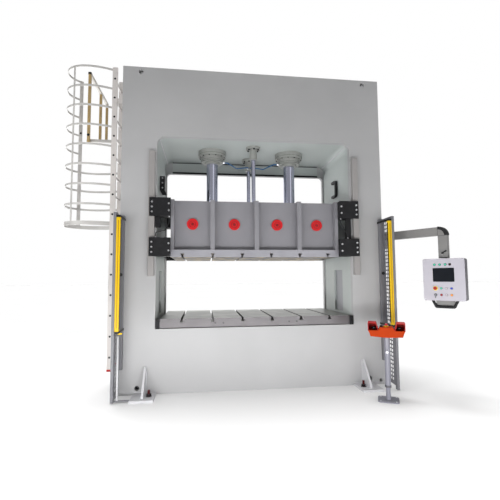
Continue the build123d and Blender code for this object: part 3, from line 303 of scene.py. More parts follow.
def lens_plastic(name, colour):
    """Tinted polycarbonate lens: glossy, with a ribbed inside that softens its colour."""
    material, tree, shader = new_material(name, {"Roughness": 0.15, "IOR": 1.58, "Coat Weight": 0.5})
    ribs = add_node(tree, "ShaderNodeTexWave", inputs={"Vector": place_texture(tree), "Scale": per_mm(12)})
    tint(tree, shader, colour, 0.9, 1.12, ribs.outputs["Fac"])
    return material


def black_rubber(name):
    """Vulcanised rubber: dull black with a faint bloom."""
    material, tree, shader = new_material(name, {"Roughness": 0.7})
    tint(tree, shader, BLACK, 0.8, 1.5, noise(tree, 20, detail=5))
    return material


def screen_glass(name):
    """Display glass over a dark panel: blue-black, with a soft sheen and hardly a reflection."""
    material, tree, shader = new_material(name, {"Roughness": 0.25, "Specular IOR Level": 0.1})
    tint(tree, shader, SCREEN_BLACK, 0.9, 1.15, noise(tree, 180))
    return material


enamel = {
    "frame": sprayed_enamel("frame enamel", FRAME_GREY, 0.38),
    "liner": sprayed_enamel("window liner enamel", LINER_GREY, 0.5, 1400, 0.04),
    "slide": sprayed_enamel("slide enamel", SLIDE_GREY, 0.5, 300, 0.04),
    "duct": sprayed_enamel("cable duct enamel", DUCT_GREY, 0.5, 300, 0.05),
    "guide rail": sprayed_enamel("guide rail enamel", RAIL_BRONZE, 0.4, 300, 0.04),
    "foot": sprayed_enamel("foot enamel", FOOT_GREY, 0.4, 200, 0.05),
    "cylinder": sprayed_enamel("cylinder enamel", CYLINDER_GREY, 0.45, 200, 0.04),
    "disc": sprayed_enamel("cover disc enamel", DISC_RED, 0.4, 60, 0.06),
    "disc groove shade": sprayed_enamel("cover disc groove shade enamel", DISC_GROOVE_SHADE_RED, 0.45, 60, 0.06),
    "ladder": sprayed_enamel("ladder enamel", LADDER_CREAM, 0.35, 500, 0.08),
    "cage": sprayed_enamel("cage enamel", CAGE_GREY, 0.38, 300, 0.08),
    "exit rail": sprayed_enamel("exit rail enamel", RAIL_TAN, 0.4, 200, 0.1),
    "guard": sprayed_enamel("guard enamel", GUARD_GREY, 0.4, 500, 0.05),
    "curtain": sprayed_enamel("light curtain enamel", CURTAIN_YELLOW, 0.4, 300, 0.04, gloss=0.25),
    "stand": sprayed_enamel("stand enamel", STAND_GREY, 0.35, 200, 0.05),
    "head": sprayed_enamel("console head enamel", HEAD_ORANGE, 0.6, 120, 0.06, gloss=0.1),
    "box": sprayed_enamel("pendant box enamel", BOX_LILAC, 0.4, 300, 0.03),
    "box side": sprayed_enamel("pendant side enamel", BOX_SIDE_GREY, 0.4, 300, 0.03),
    "arm": sprayed_enamel("swivel arm enamel", ARM_GREY, 0.38, 200, 0.04),
}
bolster_steel = machined_steel("machined bolster steel", BOLSTER_STEEL)
die_steel = machined_steel("machined die plate steel", DIE_PLATE_STEEL)
# Painted light on level faces: the bolster's top is painted paler than its sides as a painted reflection,
# and the die plate's underside is painted dark brown-gold as painted shade with a painted golden reflection
colour_level_faces(bolster_steel, 1, PAINTED_TOP_REFLECTION, 320)
colour_level_faces(die_steel, -1, UNDERSIDE_SHADE_AND_REFLECTION, 170)
black_steel = black_oxide_steel("black oxide steel")
chrome = hard_chrome("hard chrome")
zinc = zinc_plated_steel("zinc plated steel", ZINC)
bezel_steel = zinc_plated_steel("satin bezel steel", BEZEL_GREY)
anchor_steel = zinc_plated_steel("weathered anchor steel", ANCHOR_BROWN)
rusty_steel = zinc_plated_steel("rust primed thread", PRIMER_BROWN)
black_abs = moulded_plastic("black moulded plastic", BLACK)
hood_abs = moulded_plastic("red moulded plastic", HOOD_RED, 0.55)
yellow_abs = moulded_plastic("yellow moulded plastic", STOP_YELLOW, 0.3, coat=0.3)
ochre_abs = moulded_plastic("ochre moulded plastic", STRIP_OCHRE, 0.35)
button_red = moulded_plastic("red button plastic", BUTTON_RED, 0.3, coat=0.2)
button_white = moulded_plastic("white button plastic", BUTTON_WHITE, 0.35)
button_blue = moulded_plastic("blue button plastic", BUTTON_BLUE, 0.3, coat=0.3)
button_amber = moulded_plastic("amber button plastic", BUTTON_AMBER, 0.3, coat=0.3)
tube_blue = moulded_plastic("blue nylon tube", TUBE_BLUE, 0.35)
lens_green = lens_plastic("green lens", LENS_GREEN)
lens_dark = lens_plastic("dark red lens", LENS_DARK)
rubber = black_rubber("black rubber")
glass = screen_glass("display glass")

finished_nodes = (
    (enamel["frame"], ("front_plate", "rear_plate", "side_plates", "crown_plate", "bed", "pendant_bracket")),
    (enamel["liner"], ("window_liner",)),
    (enamel["foot"], ("feet",)),
    (enamel["guide rail"], ("guide_rails",)),
    (enamel["cylinder"], ("main_cylinders", "balance_cylinders")),
    (enamel["slide"], ("slide_body",)),
    (enamel["disc"], ("slide_cover_discs",)),
    (enamel["ladder"], ("ladder_stiles", "ladder_rungs")),
    (enamel["cage"], ("cage_hoops", "cage_straps")),
    (enamel["exit rail"], ("exit_guard_rail",)),
    (enamel["guard"], ("side_guards",)),
    (enamel["curtain"], ("light_curtains",)),
    (enamel["stand"], ("console_stand", "console_column")),
    (enamel["head"], ("console_head",)),
    (enamel["arm"], ("pendant_arm",)),
    (enamel["box"], ("pendant_box",)),
    (bolster_steel, ("bolster",)),
    (die_steel, ("slide_die_plate",)),
    (black_steel, ("bolster_end_blocks", "guide_blocks_front", "guide_blocks_rear", "gib_strips",
                   "wall_stop_block", "cable_hook")),
    (chrome, ("cylinder_rods",)),
    (anchor_steel, ("anchor_bolts",)),
    (bezel_steel, ("console_clamp_knob", "pendant_key_switch")),
    (black_abs, ("curtain_brackets", "palm_button_left", "palm_button_right", "console_button",
                 "arm_elbow_cap", "pendant_clamp_lever", "pendant_handle")),
    (hood_abs, ("stile_caps", "palm_shrouds")),
    (yellow_abs, ("console_estop_collar",)),
    (button_red, ("console_estop", "pendant_estop", "red_button")),
    (button_white, ("white_button_upper", "white_button_lower")),
    (button_blue, ("blue_button",)),
    (button_amber, ("amber_button",)),
    (tube_blue, ("drain_tubes",)),
    (lens_green, ("pendant_lamps", "green_button")),
    (rubber, ("cable_grommets", "lube_tubes")),
    (glass, ("pendant_screen",)),
)
for finish, node_names in finished_nodes:
    for node_name in node_names:
        for material_slot in nodes[node_name].material_slots:
            material_slot.material = finish


def add_piece(name, mesh, finish, body):
    """A piece of the object from a finished bmesh, riding on a CAD body."""
    sharp_angle = 30
    data = bpy.data.meshes.new(name)
    bmesh.ops.remove_doubles(mesh, verts=mesh.verts, dist=1e-6)
    bmesh.ops.recalc_face_normals(mesh, faces=mesh.faces)
    mesh.to_mesh(data)
    mesh.free()
    data.materials.append(finish)
    data.shade_smooth()
    data.set_sharp_from_angle(angle=radians(sharp_angle))
    piece = bpy.data.objects.new(name, data)
    bpy.context.scene.collection.objects.link(piece)
    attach(piece, body)


def axis_matrix(place, axis):
    """A matrix that takes local Z to the axis at a place in metres."""
    return Matrix.Translation(place) @ Vector(axis).to_track_quat("Z", "Y").to_matrix().to_4x4()


def at(x, y, z, axis):
    """A matrix at a place in mm with its local Z along the axis."""
    return axis_matrix(Vector((x, y, z)) * MM, axis)


def bolt_circle(x, y, radius, count, first=0.5):
    """Places in mm round a circle, the first of them that many steps on from the X direction."""
    angles = [tau * (step + first) / count for step in range(count)]
    return [(x + radius * cos(angle), y + radius * sin(angle)) for angle in angles]


def join_loops(mesh, loops, closed=False):
    """Faces between loops of equal length; closed joins the last loop to the first."""
    pairs = list(zip(loops, loops[1:]))
    if closed:
        pairs.append((loops[-1], loops[0]))
    for lower, upper in pairs:
        for k in range(len(lower)):
            after = (k + 1) % len(lower)
            mesh.faces.new((lower[k], lower[after], upper[after], upper[k]))


def turned(mesh, profile, matrix, segments=24, hexagons=(), caps=(True, True)):
    """Adds a turned form to the mesh: (radius, height) in mm; rings listed in hexagons are six-sided."""
    rings = []
    for index, (radius, height) in enumerate(profile):
        points = []
        for step in range(segments):
            angle = tau * step / segments
            reach = radius
            if index in hexagons:
                reach = radius * cos(pi / 6) / cos(angle % (pi / 3) - pi / 6)
            point = Vector((reach * cos(angle), reach * sin(angle), height)) * MM
            points.append(mesh.verts.new(matrix @ point))
        rings.append(points)
    join_loops(mesh, rings)
    for ring_index, closed in zip((0, -1), caps):
        if closed:
            mesh.faces.new(rings[ring_index])


def socket_screw(mesh, matrix, radius=12):
    """A socket head screw standing on its seat, as high as its head's radius."""
    edge = radius * 0.12
    socket = radius * 0.5
    profile = [(radius, 0), (radius, radius - edge), (radius - edge, radius), (socket * 1.15, radius),
               (socket, radius - edge), (socket, radius * 0.4)]
    turned(mesh, profile, matrix, hexagons=(3, 4, 5))


def hex_bolt(mesh, matrix, radius):
    """A hexagon bolt head on its washer."""
    washer = radius * 0.2
    top = radius * 0.9
    profile = [(radius * 1.3, 0), (radius * 1.3, washer), (radius, washer), (radius, top - washer),
               (radius * 0.85, top), (radius * 0.3, top)]
    turned(mesh, profile, matrix, hexagons=(2, 3))


def ring(mesh, matrix, inner, outer, height, segments=40):
    """A flat ring with an eased outer edge, such as a bezel."""
    edge = min(height, outer - inner) * 0.35
    profile = [(inner, 0), (outer, 0), (outer, height - edge), (outer - edge, height), (inner, height)]
    loops = []
    for radius, z in profile:
        points = [Vector((radius * cos(tau * k / segments), radius * sin(tau * k / segments), z)) * MM
                  for k in range(segments)]
        loops.append([mesh.verts.new(matrix @ point) for point in points])
    join_loops(mesh, loops, closed=True)


def rounded_loop(mesh, matrix, width, height, corner, z):
    """One loop of points round a rounded rectangle."""
    corner_steps = 4
    loop = []
    for quarter, (sx, sy) in enumerate(((1, 1), (-1, 1), (-1, -1), (1, -1))):
        centre = Vector((sx * (width / 2 - corner), sy * (height / 2 - corner), z))
        for step in range(corner_steps + 1):
            angle = (quarter + step / corner_steps) * pi / 2
            point = centre + corner * Vector((cos(angle), sin(angle), 0))
            loop.append(mesh.verts.new(matrix @ (point * MM)))
    return loop


def rounded_band(mesh, matrix, size, corner, start, end, proud):
    """A thin band or sleeve round a rounded bar, standing proud of it."""
    width, height = size
    edge = proud * 0.5
    sunk = (width - 1, height - 1, corner)
    trimmed = (width + proud, height + proud, corner + edge)
    grown = (width + 2 * proud, height + 2 * proud, corner + proud)
    outline = ((sunk, start), (trimmed, start), (grown, start + edge),
               (grown, end - edge), (trimmed, end), (sunk, end))
    join_loops(mesh, [rounded_loop(mesh, matrix, *form, z) for form, z in outline], closed=True)


def bevelled_box(mesh, low, high, edge, matrix=Matrix()):
    """A bar or plate between two corners in mm, with eased edges."""
    low, high = Vector(low), Vector(high)
    place = Matrix.Translation((low + high) / 2 * MM) @ Matrix.Diagonal(((high - low) * MM).to_4d())
    made = bmesh.ops.create_cube(mesh, size=1, matrix=matrix @ place)
    edges = list(dict.fromkeys(line for corner in made["verts"] for line in corner.link_edges))
    bmesh.ops.bevel(mesh, geom=edges, offset=edge * MM, segments=2, affect="EDGES", clamp_overlap=True)


def weld_bead(mesh, start, end, radius):
    """A rippled fillet weld between two places in mm."""
    ripple = 9
    swelling = 0.12
    corners = [(cos(tau * k / 6), sin(tau * k / 6)) for k in range(6)]
    start, end = Vector(start) * MM, Vector(end) * MM
    along = end - start
    count = max(2, int(along.length / MM / ripple))
    spin = along.to_track_quat("Z", "Y").to_matrix()
    loops = []
    for index in range(count + 1):
        swell = radius * (1 + swelling * (-1) ** index) * MM
        centre = start + along * index / count
        loops.append([mesh.verts.new(centre + spin @ Vector((swell * x, swell * y, 0))) for x, y in corners])
    join_loops(mesh, loops)
    mesh.faces.new(loops[0])
    mesh.faces.new(loops[-1])


# Slide: screws of the guide blocks, rings of the red discs, nuts of the lubrication tubes
def guide_block_screws():
    """Three screws outside over the rail and two inside on the slide, on each block."""
    rail_screw_inset = 34
    slide_screw_x = 1172
    for face_name, face in (("front", -1), ("rear", 1)):
        low, high = in_mm(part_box(f"guide_blocks_{face_name}"))
        outer_y = low.y if face < 0 else high.y
        columns = ((high.x - rail_screw_inset, (0.22, 0.49, 0.76)), (slide_screw_x, (0.3, 0.68)))
        mesh = bmesh.new()
        for bottom in (low.z, high.z - GUIDE_BLOCK_HEIGHT):
            for side in (-1, 1):
                for x, shares in columns:
                    for share in shares:
                        z = bottom + share * GUIDE_BLOCK_HEIGHT
                        socket_screw(mesh, at(side * x, outer_y, z, (0, face, 0)))
        add_piece(f"guide_screws_{face_name}", mesh, zinc, "slide")


def disc_rings():
    """The darker red ring and plug in the middle of each red disc, painted shade that stands for the disc's
    recessed groove and centre.
    """
    disc_xs = (-870, -300, 300, 870)
    plug = [(20, 0), (20, 2), (17, 3), (8, 3), (7, 1)]
    low, high = in_mm(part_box("slide_cover_discs"))
    mesh = bmesh.new()
    for x in disc_xs:
        place = at(x, low.y, (low.z + high.z) / 2, (0, -1, 0))
        ring(mesh, place, inner=40, outer=45, height=1.5)
        turned(mesh, plug, place, segments=40)
    add_piece("cover_disc_rings", mesh, enamel["disc groove shade"], "slide")


def rod_flange_screws():
    """Screws that hold the cylinder rods' flanges to the slide's top."""
    flange_height = 25
    seat_z = in_mm(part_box("slide_body"))[1].z + flange_height
    mesh = bmesh.new()
    for x in (-CYLINDER_X, CYLINDER_X):
        for place in bolt_circle(x, CYLINDER_Y, radius=108, count=8):
            socket_screw(mesh, at(*place, seat_z, (0, 0, 1)), radius=10)
    add_piece("rod_flange_screws", mesh, black_steel, "slide")


def lubrication_nuts():
    """Union nuts where the lubrication tubes enter the guide blocks."""
    tube_y = -672.5
    profile = [(9, 0), (9, 10), (7, 12), (7, 16), (6.2, 17)]
    low, high = in_mm(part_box("guide_blocks_front"))
    upper = high.z - GUIDE_BLOCK_HEIGHT
    lower = low.z + GUIDE_BLOCK_HEIGHT
    mesh = bmesh.new()
    for x, z, way in ((-1169, upper, -1), (-1340, lower, 1), (1165, upper, -1), (1261, lower, 1)):
        turned(mesh, profile, at(x, tube_y, z, (0, 0, way)), hexagons=(0, 1))
    add_piece("lubrication_nuts", mesh, zinc, "slide")


# Cylinders: screws, joint lines and drain nuts
def main_cylinder_fittings():
    """Flange screws round each neck, and the dark joint lines between the turned steps."""
    flange_z = WINDOW_TOP - FLANGE_HEIGHT
    neck_z = flange_z - NECK_HEIGHT
    joints = ((flange_z + 30, FLANGE_RADIUS), (neck_z + 28, NECK_RADIUS), (neck_z + 5, NECK_RADIUS))
    screws = bmesh.new()
    grooves = bmesh.new()
    for x in (-CYLINDER_X, CYLINDER_X):
        for place in bolt_circle(x, CYLINDER_Y, radius=(NECK_RADIUS + FLANGE_RADIUS) / 2, count=12):
            socket_screw(screws, at(*place, flange_z, (0, 0, -1)), radius=9)
        for z, radius in joints:
            place = at(x, CYLINDER_Y, z, (0, 0, 1))
            ring(grooves, place, inner=radius - 1, outer=radius + 0.6, height=3, segments=64)
    add_piece("main_flange_screws", screws, black_steel, "press_frame")
    add_piece("main_cylinder_grooves", grooves, black_steel, "press_frame")


def balance_flange_screws():
    """Dark screws under the small cylinders' flanges."""
    flange_height = 35
    mesh = bmesh.new()
    for y in (-BALANCE_Y, BALANCE_Y):
        for place in bolt_circle(0, y, radius=80, count=6, first=1.5):
            socket_screw(mesh, at(*place, WINDOW_TOP - flange_height, (0, 0, -1)), radius=13)
    add_piece("balance_flange_screws", mesh, black_steel, "press_frame")


def drain_tube_nuts():
    """Union nuts at both ends of the blue drain tubes."""
    neck_port_z = WINDOW_TOP - FLANGE_HEIGHT - NECK_HEIGHT + 12
    balance_port_x = 18
    balance_port_z = 3220
    profile = [(15, 0), (15, 14), (12, 17), (12, 24), (9.5, 26)]
    mesh = bmesh.new()
    for side in (-1, 1):
        neck_port = at(side * (CYLINDER_X - NECK_RADIUS), CYLINDER_Y, neck_port_z, (-side, 0, 0))
        balance_port = at(side * balance_port_x, BALANCE_Y - BALANCE_RADIUS, balance_port_z, (0, -1, 0))
        for port in (neck_port, balance_port):
            turned(mesh, profile, port, hexagons=(0, 1))
    add_piece("drain_tube_nuts", mesh, zinc, "press_frame")


# Frame: weld seams, rear panel, screws, plugs and anchor threads
def liner_welds():
    """The seams between the inner walls and the ceiling, painted the paler foot enamel as a painted
    highlight along the liner's corners.
    """
    inset = LINER_CORNER * (1 - cos(pi / 4)) - 1
    reach = PLATE_INNER_Y - 2
    z = WINDOW_TOP - inset
    mesh = bmesh.new()
    for side in (-1, 1):
        x = side * (WINDOW_HALF - inset)
        weld_bead(mesh, (x, -reach, z), (x, reach, z), radius=8)
    add_piece("liner_welds", mesh, enamel["foot"], "press_frame")


def rear_panel():
    """The pale inner panel over the rear window, with black rubber strips above and below it as painted
    shade: the shadowed gap under the ceiling and the shadowed underside of the rear window's top edge.
    """
    panel_half = 1228
    shade_strip_half = 1232
    panel_bottom = REAR_WINDOW_TOP + 32
    panel_top = WINDOW_TOP - 14
    sunk_y = PLATE_INNER_Y + 0.5
    panel = bmesh.new()
    bevelled_box(panel, (-panel_half, PLATE_INNER_Y - 3.5, panel_bottom),
                 (panel_half, sunk_y, panel_top), edge=1)
    add_piece("rear_panel", panel, enamel["liner"], "press_frame")
    # Painted shade: black strips where the gap under the ceiling and the rear window's top edge lie in
    # shadow
    joints = bmesh.new()
    for bottom, top in ((panel_top, WINDOW_TOP), (REAR_WINDOW_TOP + 2, panel_bottom)):
        bevelled_box(joints, (-shade_strip_half, PLATE_INNER_Y - 5, bottom), (shade_strip_half, sunk_y, top), edge=2)
    add_piece("rear_painted_shade_strips", joints, rubber, "press_frame")


def foot_welds():
    """Fillet welds of the feet's ribs on the face plates and on the floor plates."""
    half_rib = 13
    rib_top = 345
    rib_reach = 248
    half_plate = 140
    seam_z = 29
    mesh = bmesh.new()
    for face in (-1, 1):
        wall_y = face * FACE_Y
        plate_y = face * (FACE_Y + 1)
        for side in (-1, 1):
            for edge in (-half_rib, half_rib):
                x = side * FOOT_X + edge
                weld_bead(mesh, (x, wall_y, seam_z + 1), (x, wall_y, rib_top), radius=5)
                weld_bead(mesh, (x, wall_y, seam_z), (x, face * (FACE_Y + rib_reach), seam_z), radius=5)
            left, right = side * FOOT_X - half_plate, side * FOOT_X + half_plate
            weld_bead(mesh, (left, plate_y, seam_z), (right, plate_y, seam_z), radius=6)
    add_piece("foot_welds", mesh, enamel["foot"], "press_frame")


def bolster_set_screws():
    """Dark set screws in the pairs of threaded holes on the bolster's front edge."""
    screw_xs = (-564, -458, 432, 538)
    screw_z = 880
    profile = [(11, -1), (11, 0.8), (6, 0.8), (5, -0.8)]
    front_y = in_mm(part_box("bolster"))[0].y
    mesh = bmesh.new()
    for x in screw_xs:
        turned(mesh, profile, at(x, front_y, screw_z, (0, -1, 0)), hexagons=(2, 3))
    add_piece("bolster_set_screws", mesh, black_steel, "press_frame")


def end_block_screws():
    """Two screws on the front of each black end block."""
    half_block = 25
    low, high = in_mm(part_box("bolster_end_blocks"))
    mesh = bmesh.new()
    for side in (-1, 1):
        for z in (low.z + 30, high.z - 30):
            socket_screw(mesh, at(side * (high.x - half_block), low.y, z, (0, -1, 0)), radius=9)
    add_piece("end_block_screws", mesh, black_steel, "press_frame")


def wall_block_bolts():
    """Bright screws of the stop block on the left wall: four sunk in its side, three on its front."""
    half_pitch_y = 87.5
    half_pitch_z = 60
    front_pitch = 70
    seat_x = -1288
    front_x = -1305
    low, high = in_mm(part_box("wall_stop_block"))
    middle = (low + high) / 2
    mesh = bmesh.new()
    for y in (middle.y - half_pitch_y, middle.y + half_pitch_y):
        for z in (middle.z - half_pitch_z, middle.z + half_pitch_z):
            socket_screw(mesh, at(seat_x, y, z, (1, 0, 0)), radius=14)
    for z in (middle.z - front_pitch, middle.z, middle.z + front_pitch):
        socket_screw(mesh, at(front_x, low.y, z, (0, -1, 0)), radius=11)
    add_piece("wall_block_bolts", mesh, zinc, "press_frame")


def painted_shade_hole_cups():
    """Black rubber cups behind the small holes low in the face plate: painted shade for the holes' dark
    insides.
    """
    jack_hole, cable_hole = (1557, 82, 30), (1714, 52, 22)
    depth = 40
    mesh = bmesh.new()
    for side, (x, z, radius) in ((-1, jack_hole), (1, jack_hole), (1, cable_hole)):
        wall = radius + 4
        profile = [(radius + 1, 0.5), (wall, 0.5), (wall, depth), (radius, depth), (radius * 0.5, depth - 1)]
        turned(mesh, profile, at(side * x, -PLATE_INNER_Y, z, (0, 1, 0)), caps=(False, True))
    add_piece("painted_shade_hole_cups", mesh, rubber, "press_frame")


def wall_opening_plates():
    """Grey plates that close the cable ducts behind the openings low in the inner walls."""
    opening_y = -59
    half_depth = 170
    bottom, top = 965, 1580
    overlap = 12
    plate_x = WINDOW_HALF + LINER_SHEET + 5
    half_plate = 3
    reach = half_depth + overlap
    mesh = bmesh.new()
    for side in (-1, 1):
        bevelled_box(mesh, (side * plate_x - half_plate, opening_y - reach, bottom - overlap),
                     (side * plate_x + half_plate, opening_y + reach, top + overlap), edge=1)
    add_piece("wall_opening_plates", mesh, enamel["duct"], "press_frame")


def anchor_threads():
    """The threaded ends of the floor anchors, brown with rust primer."""
    anchor_x = 1385
    anchor_y = FACE_Y + 165
    root, crest, pitch, turns = 15.2, 16.4, 4, 10
    bottom = 61
    profile = [(root, bottom)]
    for turn in range(turns):
        profile += [(crest, bottom + (turn + 0.5) * pitch), (root, bottom + (turn + 1) * pitch)]
    profile += [(16, bottom + 44), (14, bottom + 46)]
    mesh = bmesh.new()
    for x in (-anchor_x, anchor_x):
        for y in (-anchor_y, anchor_y):
            turned(mesh, profile, at(x, y, 0, (0, 0, 1)))
    add_piece("anchor_threads", mesh, rusty_steel, "press_frame")


def bracket_bolts():
    """Bolts through the pendant arm's wall bracket, three on each side of the swivel."""
    bracket_face = 1814
    half_pitch = 58
    low, high = in_mm(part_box("pendant_bracket"))
    mesh = bmesh.new()
    for y in (ARM_SWIVEL[1] - half_pitch, ARM_SWIVEL[1] + half_pitch):
        for z in (low.z + 30, low.z + 42, high.z - 30):
            hex_bolt(mesh, at(bracket_face, y, z, (1, 0, 0)), radius=9)
    add_piece("bracket_bolts", mesh, zinc, "press_frame")


def lifting_plugs():
    """Bright threaded plugs sunk in the two lifting holes, just off their middles."""
    hole_x, hole_z = 1565, 4264
    off_x, off_z = 6, -8
    seat_y = -580
    profile = [(14, 0), (14, 8), (11, 11), (6, 11), (5, 5)]
    mesh = bmesh.new()
    for x in (-hole_x, hole_x):
        turned(mesh, profile, at(x + off_x, seat_y, hole_z + off_z, (0, -1, 0)), hexagons=(3, 4))
    add_piece("lifting_plugs", mesh, zinc, "press_frame")


# Ladder, cage and exit rail
def rung_plugs():
    """Black plugs in the rungs' ends on the stiles' front and rear faces."""
    profile = [(14, 0), (14, 2), (11, 4), (4, 5)]
    mesh = bmesh.new()
    for k in range(RUNG_COUNT):
        for y, way in ((STILE_FACE_Y, -1), (STILE_BACK_Y, 1)):
            turned(mesh, profile, at(LADDER_X, y, RUNG_FIRST + k * RUNG_PITCH, (0, way, 0)))
    add_piece("rung_plugs", mesh, black_abs, "press_frame")


def cage_bolts():
    """Bolts where the cage's straps cross its hoops, on the hoops' rounded noses."""
    nose_centre_x = -2325
    across, along = 344, 276
    hoop_above_rung = 135
    strap_angles = (236, 132)
    middle_y = (STILE_FACE_Y + STILE_BACK_Y) / 2
    mesh = bmesh.new()
    for k in range(RUNG_COUNT - HOOP_COUNT, RUNG_COUNT):
        z = RUNG_FIRST + k * RUNG_PITCH + hoop_above_rung
        for angle in map(radians, strap_angles):
            outward = Vector((cos(angle) / across, sin(angle) / along, 0)).normalized()
            place = (nose_centre_x + across * cos(angle), middle_y + along * sin(angle), z)
            hex_bolt(mesh, at(*place, outward), radius=9)
    add_piece("cage_bolts", mesh, enamel["cage"], "press_frame")


def exit_rail_fittings():
    """Pale sleeves on the exit rail's tubes, the black cap on its first post and two dark bolts."""
    tube = 40
    proud = 1.2
    arm_ys = (195, 515)
    slope_bottom = 3540
    slope_rise = 0.36
    cap_half = 23
    post_bolt_z = 3625
    strap_bolt = (-2548, 91, 3640)
    strap_outward = (0.585, -0.81, 0)
    low, high = in_mm(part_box("exit_guard_rail"))
    rail_x = low.x + tube / 2
    post_y = low.y + tube / 2
    sleeves = bmesh.new()
    top_rail = at(rail_x, 0, high.z - tube / 2, (0, 1, 0))
    rounded_band(sleeves, top_rail, (tube, tube), corner=6, start=low.y + 1, end=high.y - 1, proud=proud)
    slope = Vector((0, 1, slope_rise)).normalized()
    bottom_rail = at(rail_x, post_y, slope_bottom, slope)
    rounded_band(sleeves, bottom_rail, (tube, tube * slope.y), corner=4, start=24, end=1030, proud=proud)
    for y in arm_ys:
        arm = at(rail_x, y, slope_bottom + slope_rise * (y - post_y), (1, 0, 0))
        rounded_band(sleeves, arm, (tube, tube), corner=1, start=tube / 2 + 2, end=high.x - rail_x - 2,
                     proud=proud)
    add_piece("exit_rail_sleeves", sleeves, enamel["cage"], "press_frame")
    cap = bmesh.new()
    bevelled_box(cap, (rail_x - cap_half, post_y - cap_half, high.z - 34),
                 (rail_x + cap_half, post_y + cap_half, high.z + 6), edge=4)
    add_piece("exit_rail_cap", cap, black_abs, "press_frame")
    bolts = bmesh.new()
    hex_bolt(bolts, at(rail_x, low.y, post_bolt_z, (0, -1, 0)), radius=15)
    hex_bolt(bolts, at(*strap_bolt, strap_outward), radius=14)
    add_piece("exit_rail_bolts", bolts, black_steel, "press_frame")


# Side guards: optics, front strips and screws of the light curtains, floor bars
def curtain_optics():
    """Dark windows along the light curtains' inner sides, and the ochre strips down their fronts."""
    half_curtain = 25
    half_window = 13
    half_strip = 6
    low, high = in_mm(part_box("light_curtains"))
    windows = bmesh.new()
    for side in (-1, 1):
        x = side * (CURTAIN_X - half_curtain)
        bevelled_box(windows, (x - 1.5, CURTAIN_Y - half_window, low.z + 28),
                     (x + 1.5, CURTAIN_Y + half_window, high.z - 27), edge=1)
    add_piece("curtain_optics", windows, glass, "press_frame")
    strips = bmesh.new()
    for side in (-1, 1):
        x = side * CURTAIN_X
        bevelled_box(strips, (x - half_strip, low.y - 1, low.z + 38),
                     (x + half_strip, low.y + 1, high.z - 37), edge=0.6)
    add_piece("curtain_front_strips", strips, ochre_abs, "press_frame")


def curtain_screws():
    """Screws of the black end brackets, and the yellow clip under the left curtain."""
    bracket_low, bracket_high = in_mm(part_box("curtain_brackets"))
    clip_x, clip_z = -1716, 814
    mesh = bmesh.new()
    for side in (-1, 1):
        for z in (bracket_low.z + 13, bracket_high.z - 13):
            socket_screw(mesh, at(side * CURTAIN_X, bracket_low.y, z, (0, -1, 0)), radius=7)
    add_piece("curtain_screws", mesh, black_steel, "press_frame")
    clip = bmesh.new()
    bevelled_box(clip, (clip_x - 22, CURTAIN_Y - 16, clip_z - 8),
                 (clip_x, CURTAIN_Y + 16, clip_z + 8), edge=2)
    turned(clip, [(9, 0), (9, 26), (6, 29)], at(clip_x, CURTAIN_Y, clip_z, (1, 0, 0)))
    add_piece("curtain_clip", clip, yellow_abs, "press_frame")


def guard_floor_bars():
    """Three flat bars low on the left guard's post, and its pale support tube."""
    bar_to_foot = ((-1776, -884, 8), (-1596, -862, 28))
    bar_to_frame = ((-1797, -885, 14), (-1785, -606, 40))
    upright = ((-1797, -645, 36), (-1777, -625, 332))
    tube_place = (-1740, -880)
    tube_profile = [(13, 28), (13, 776), (11, 780)]
    bars = bmesh.new()
    for low, high in (bar_to_foot, bar_to_frame, upright):
        bevelled_box(bars, low, high, edge=2)
    add_piece("guard_floor_bars", bars, enamel["guard"], "press_frame")
    tube = bmesh.new()
    turned(tube, tube_profile, at(*tube_place, 0, (0, 0, 1)))
    add_piece("guard_support_tube", tube, enamel["foot"], "press_frame")


# Console
def console_matrix(across, back, up, axis=(0, 0, 1)):
    """A place on the console, turned with it, with local Z along the axis."""
    spin = Matrix.Rotation(radians(CONSOLE_TURN), 4, "Z")
    place = Vector((*CONSOLE_CENTRE, 0)) * MM + spin @ (Vector((across, back, up)) * MM)
    return axis_matrix(place, spin @ Vector(axis))


def console_fittings():
    """Base bolts, the column's dark collar, the rings under the buttons and the knob's cap."""
    base_top = 12
    bolt_reach = 88
    button_x, button_seat = -58, 867
    palm_x, palm_seat = 144, 832
    collar_bottom = 154
    knob_face, knob_z = -60.2, 575
    screws = bmesh.new()
    for x in (-bolt_reach, bolt_reach):
        for y in (-bolt_reach, bolt_reach):
            hex_bolt(screws, console_matrix(x, y, base_top), radius=8)
    add_piece("console_base_bolts", screws, zinc, "press_frame")
    collar = bmesh.new()
    ring(collar, console_matrix(0, 0, collar_bottom), inner=35.5, outer=37.5, height=26)
    add_piece("column_collar", collar, enamel["box side"], "console")
    rings = bmesh.new()
    ring(rings, console_matrix(button_x, 0, button_seat), inner=17.5, outer=22, height=3)
    for side in (-1, 1):
        ring(rings, console_matrix(side * palm_x, 0, palm_seat), inner=14, outer=30, height=5)
    add_piece("console_button_rings", rings, black_abs, "console")
    cap = bmesh.new()
    turned(cap, [(12, 0), (12, 2), (9, 3.5), (3, 4)], console_matrix(0, knob_face, knob_z, (0, -1, 0)))
    add_piece("clamp_knob_cap", cap, zinc, "clamp_knob")


# Pendant: rings of its lamps and buttons, bands round its housing, grip and screen frame
def pendant_matrix(across, drop, proud=0.0, axis=(0, -1, 0)):
    """A place on the pendant's front face, turned with it, with local Z along the axis."""
    spin = Matrix.Rotation(radians(PENDANT_TURN), 4, "Z")
    local = Vector((across, PENDANT_FACE - proud, PENDANT_TOP - drop)) * MM
    return axis_matrix(Vector((*PENDANT_CENTRE, 0)) * MM + spin @ local, spin @ Vector(axis))


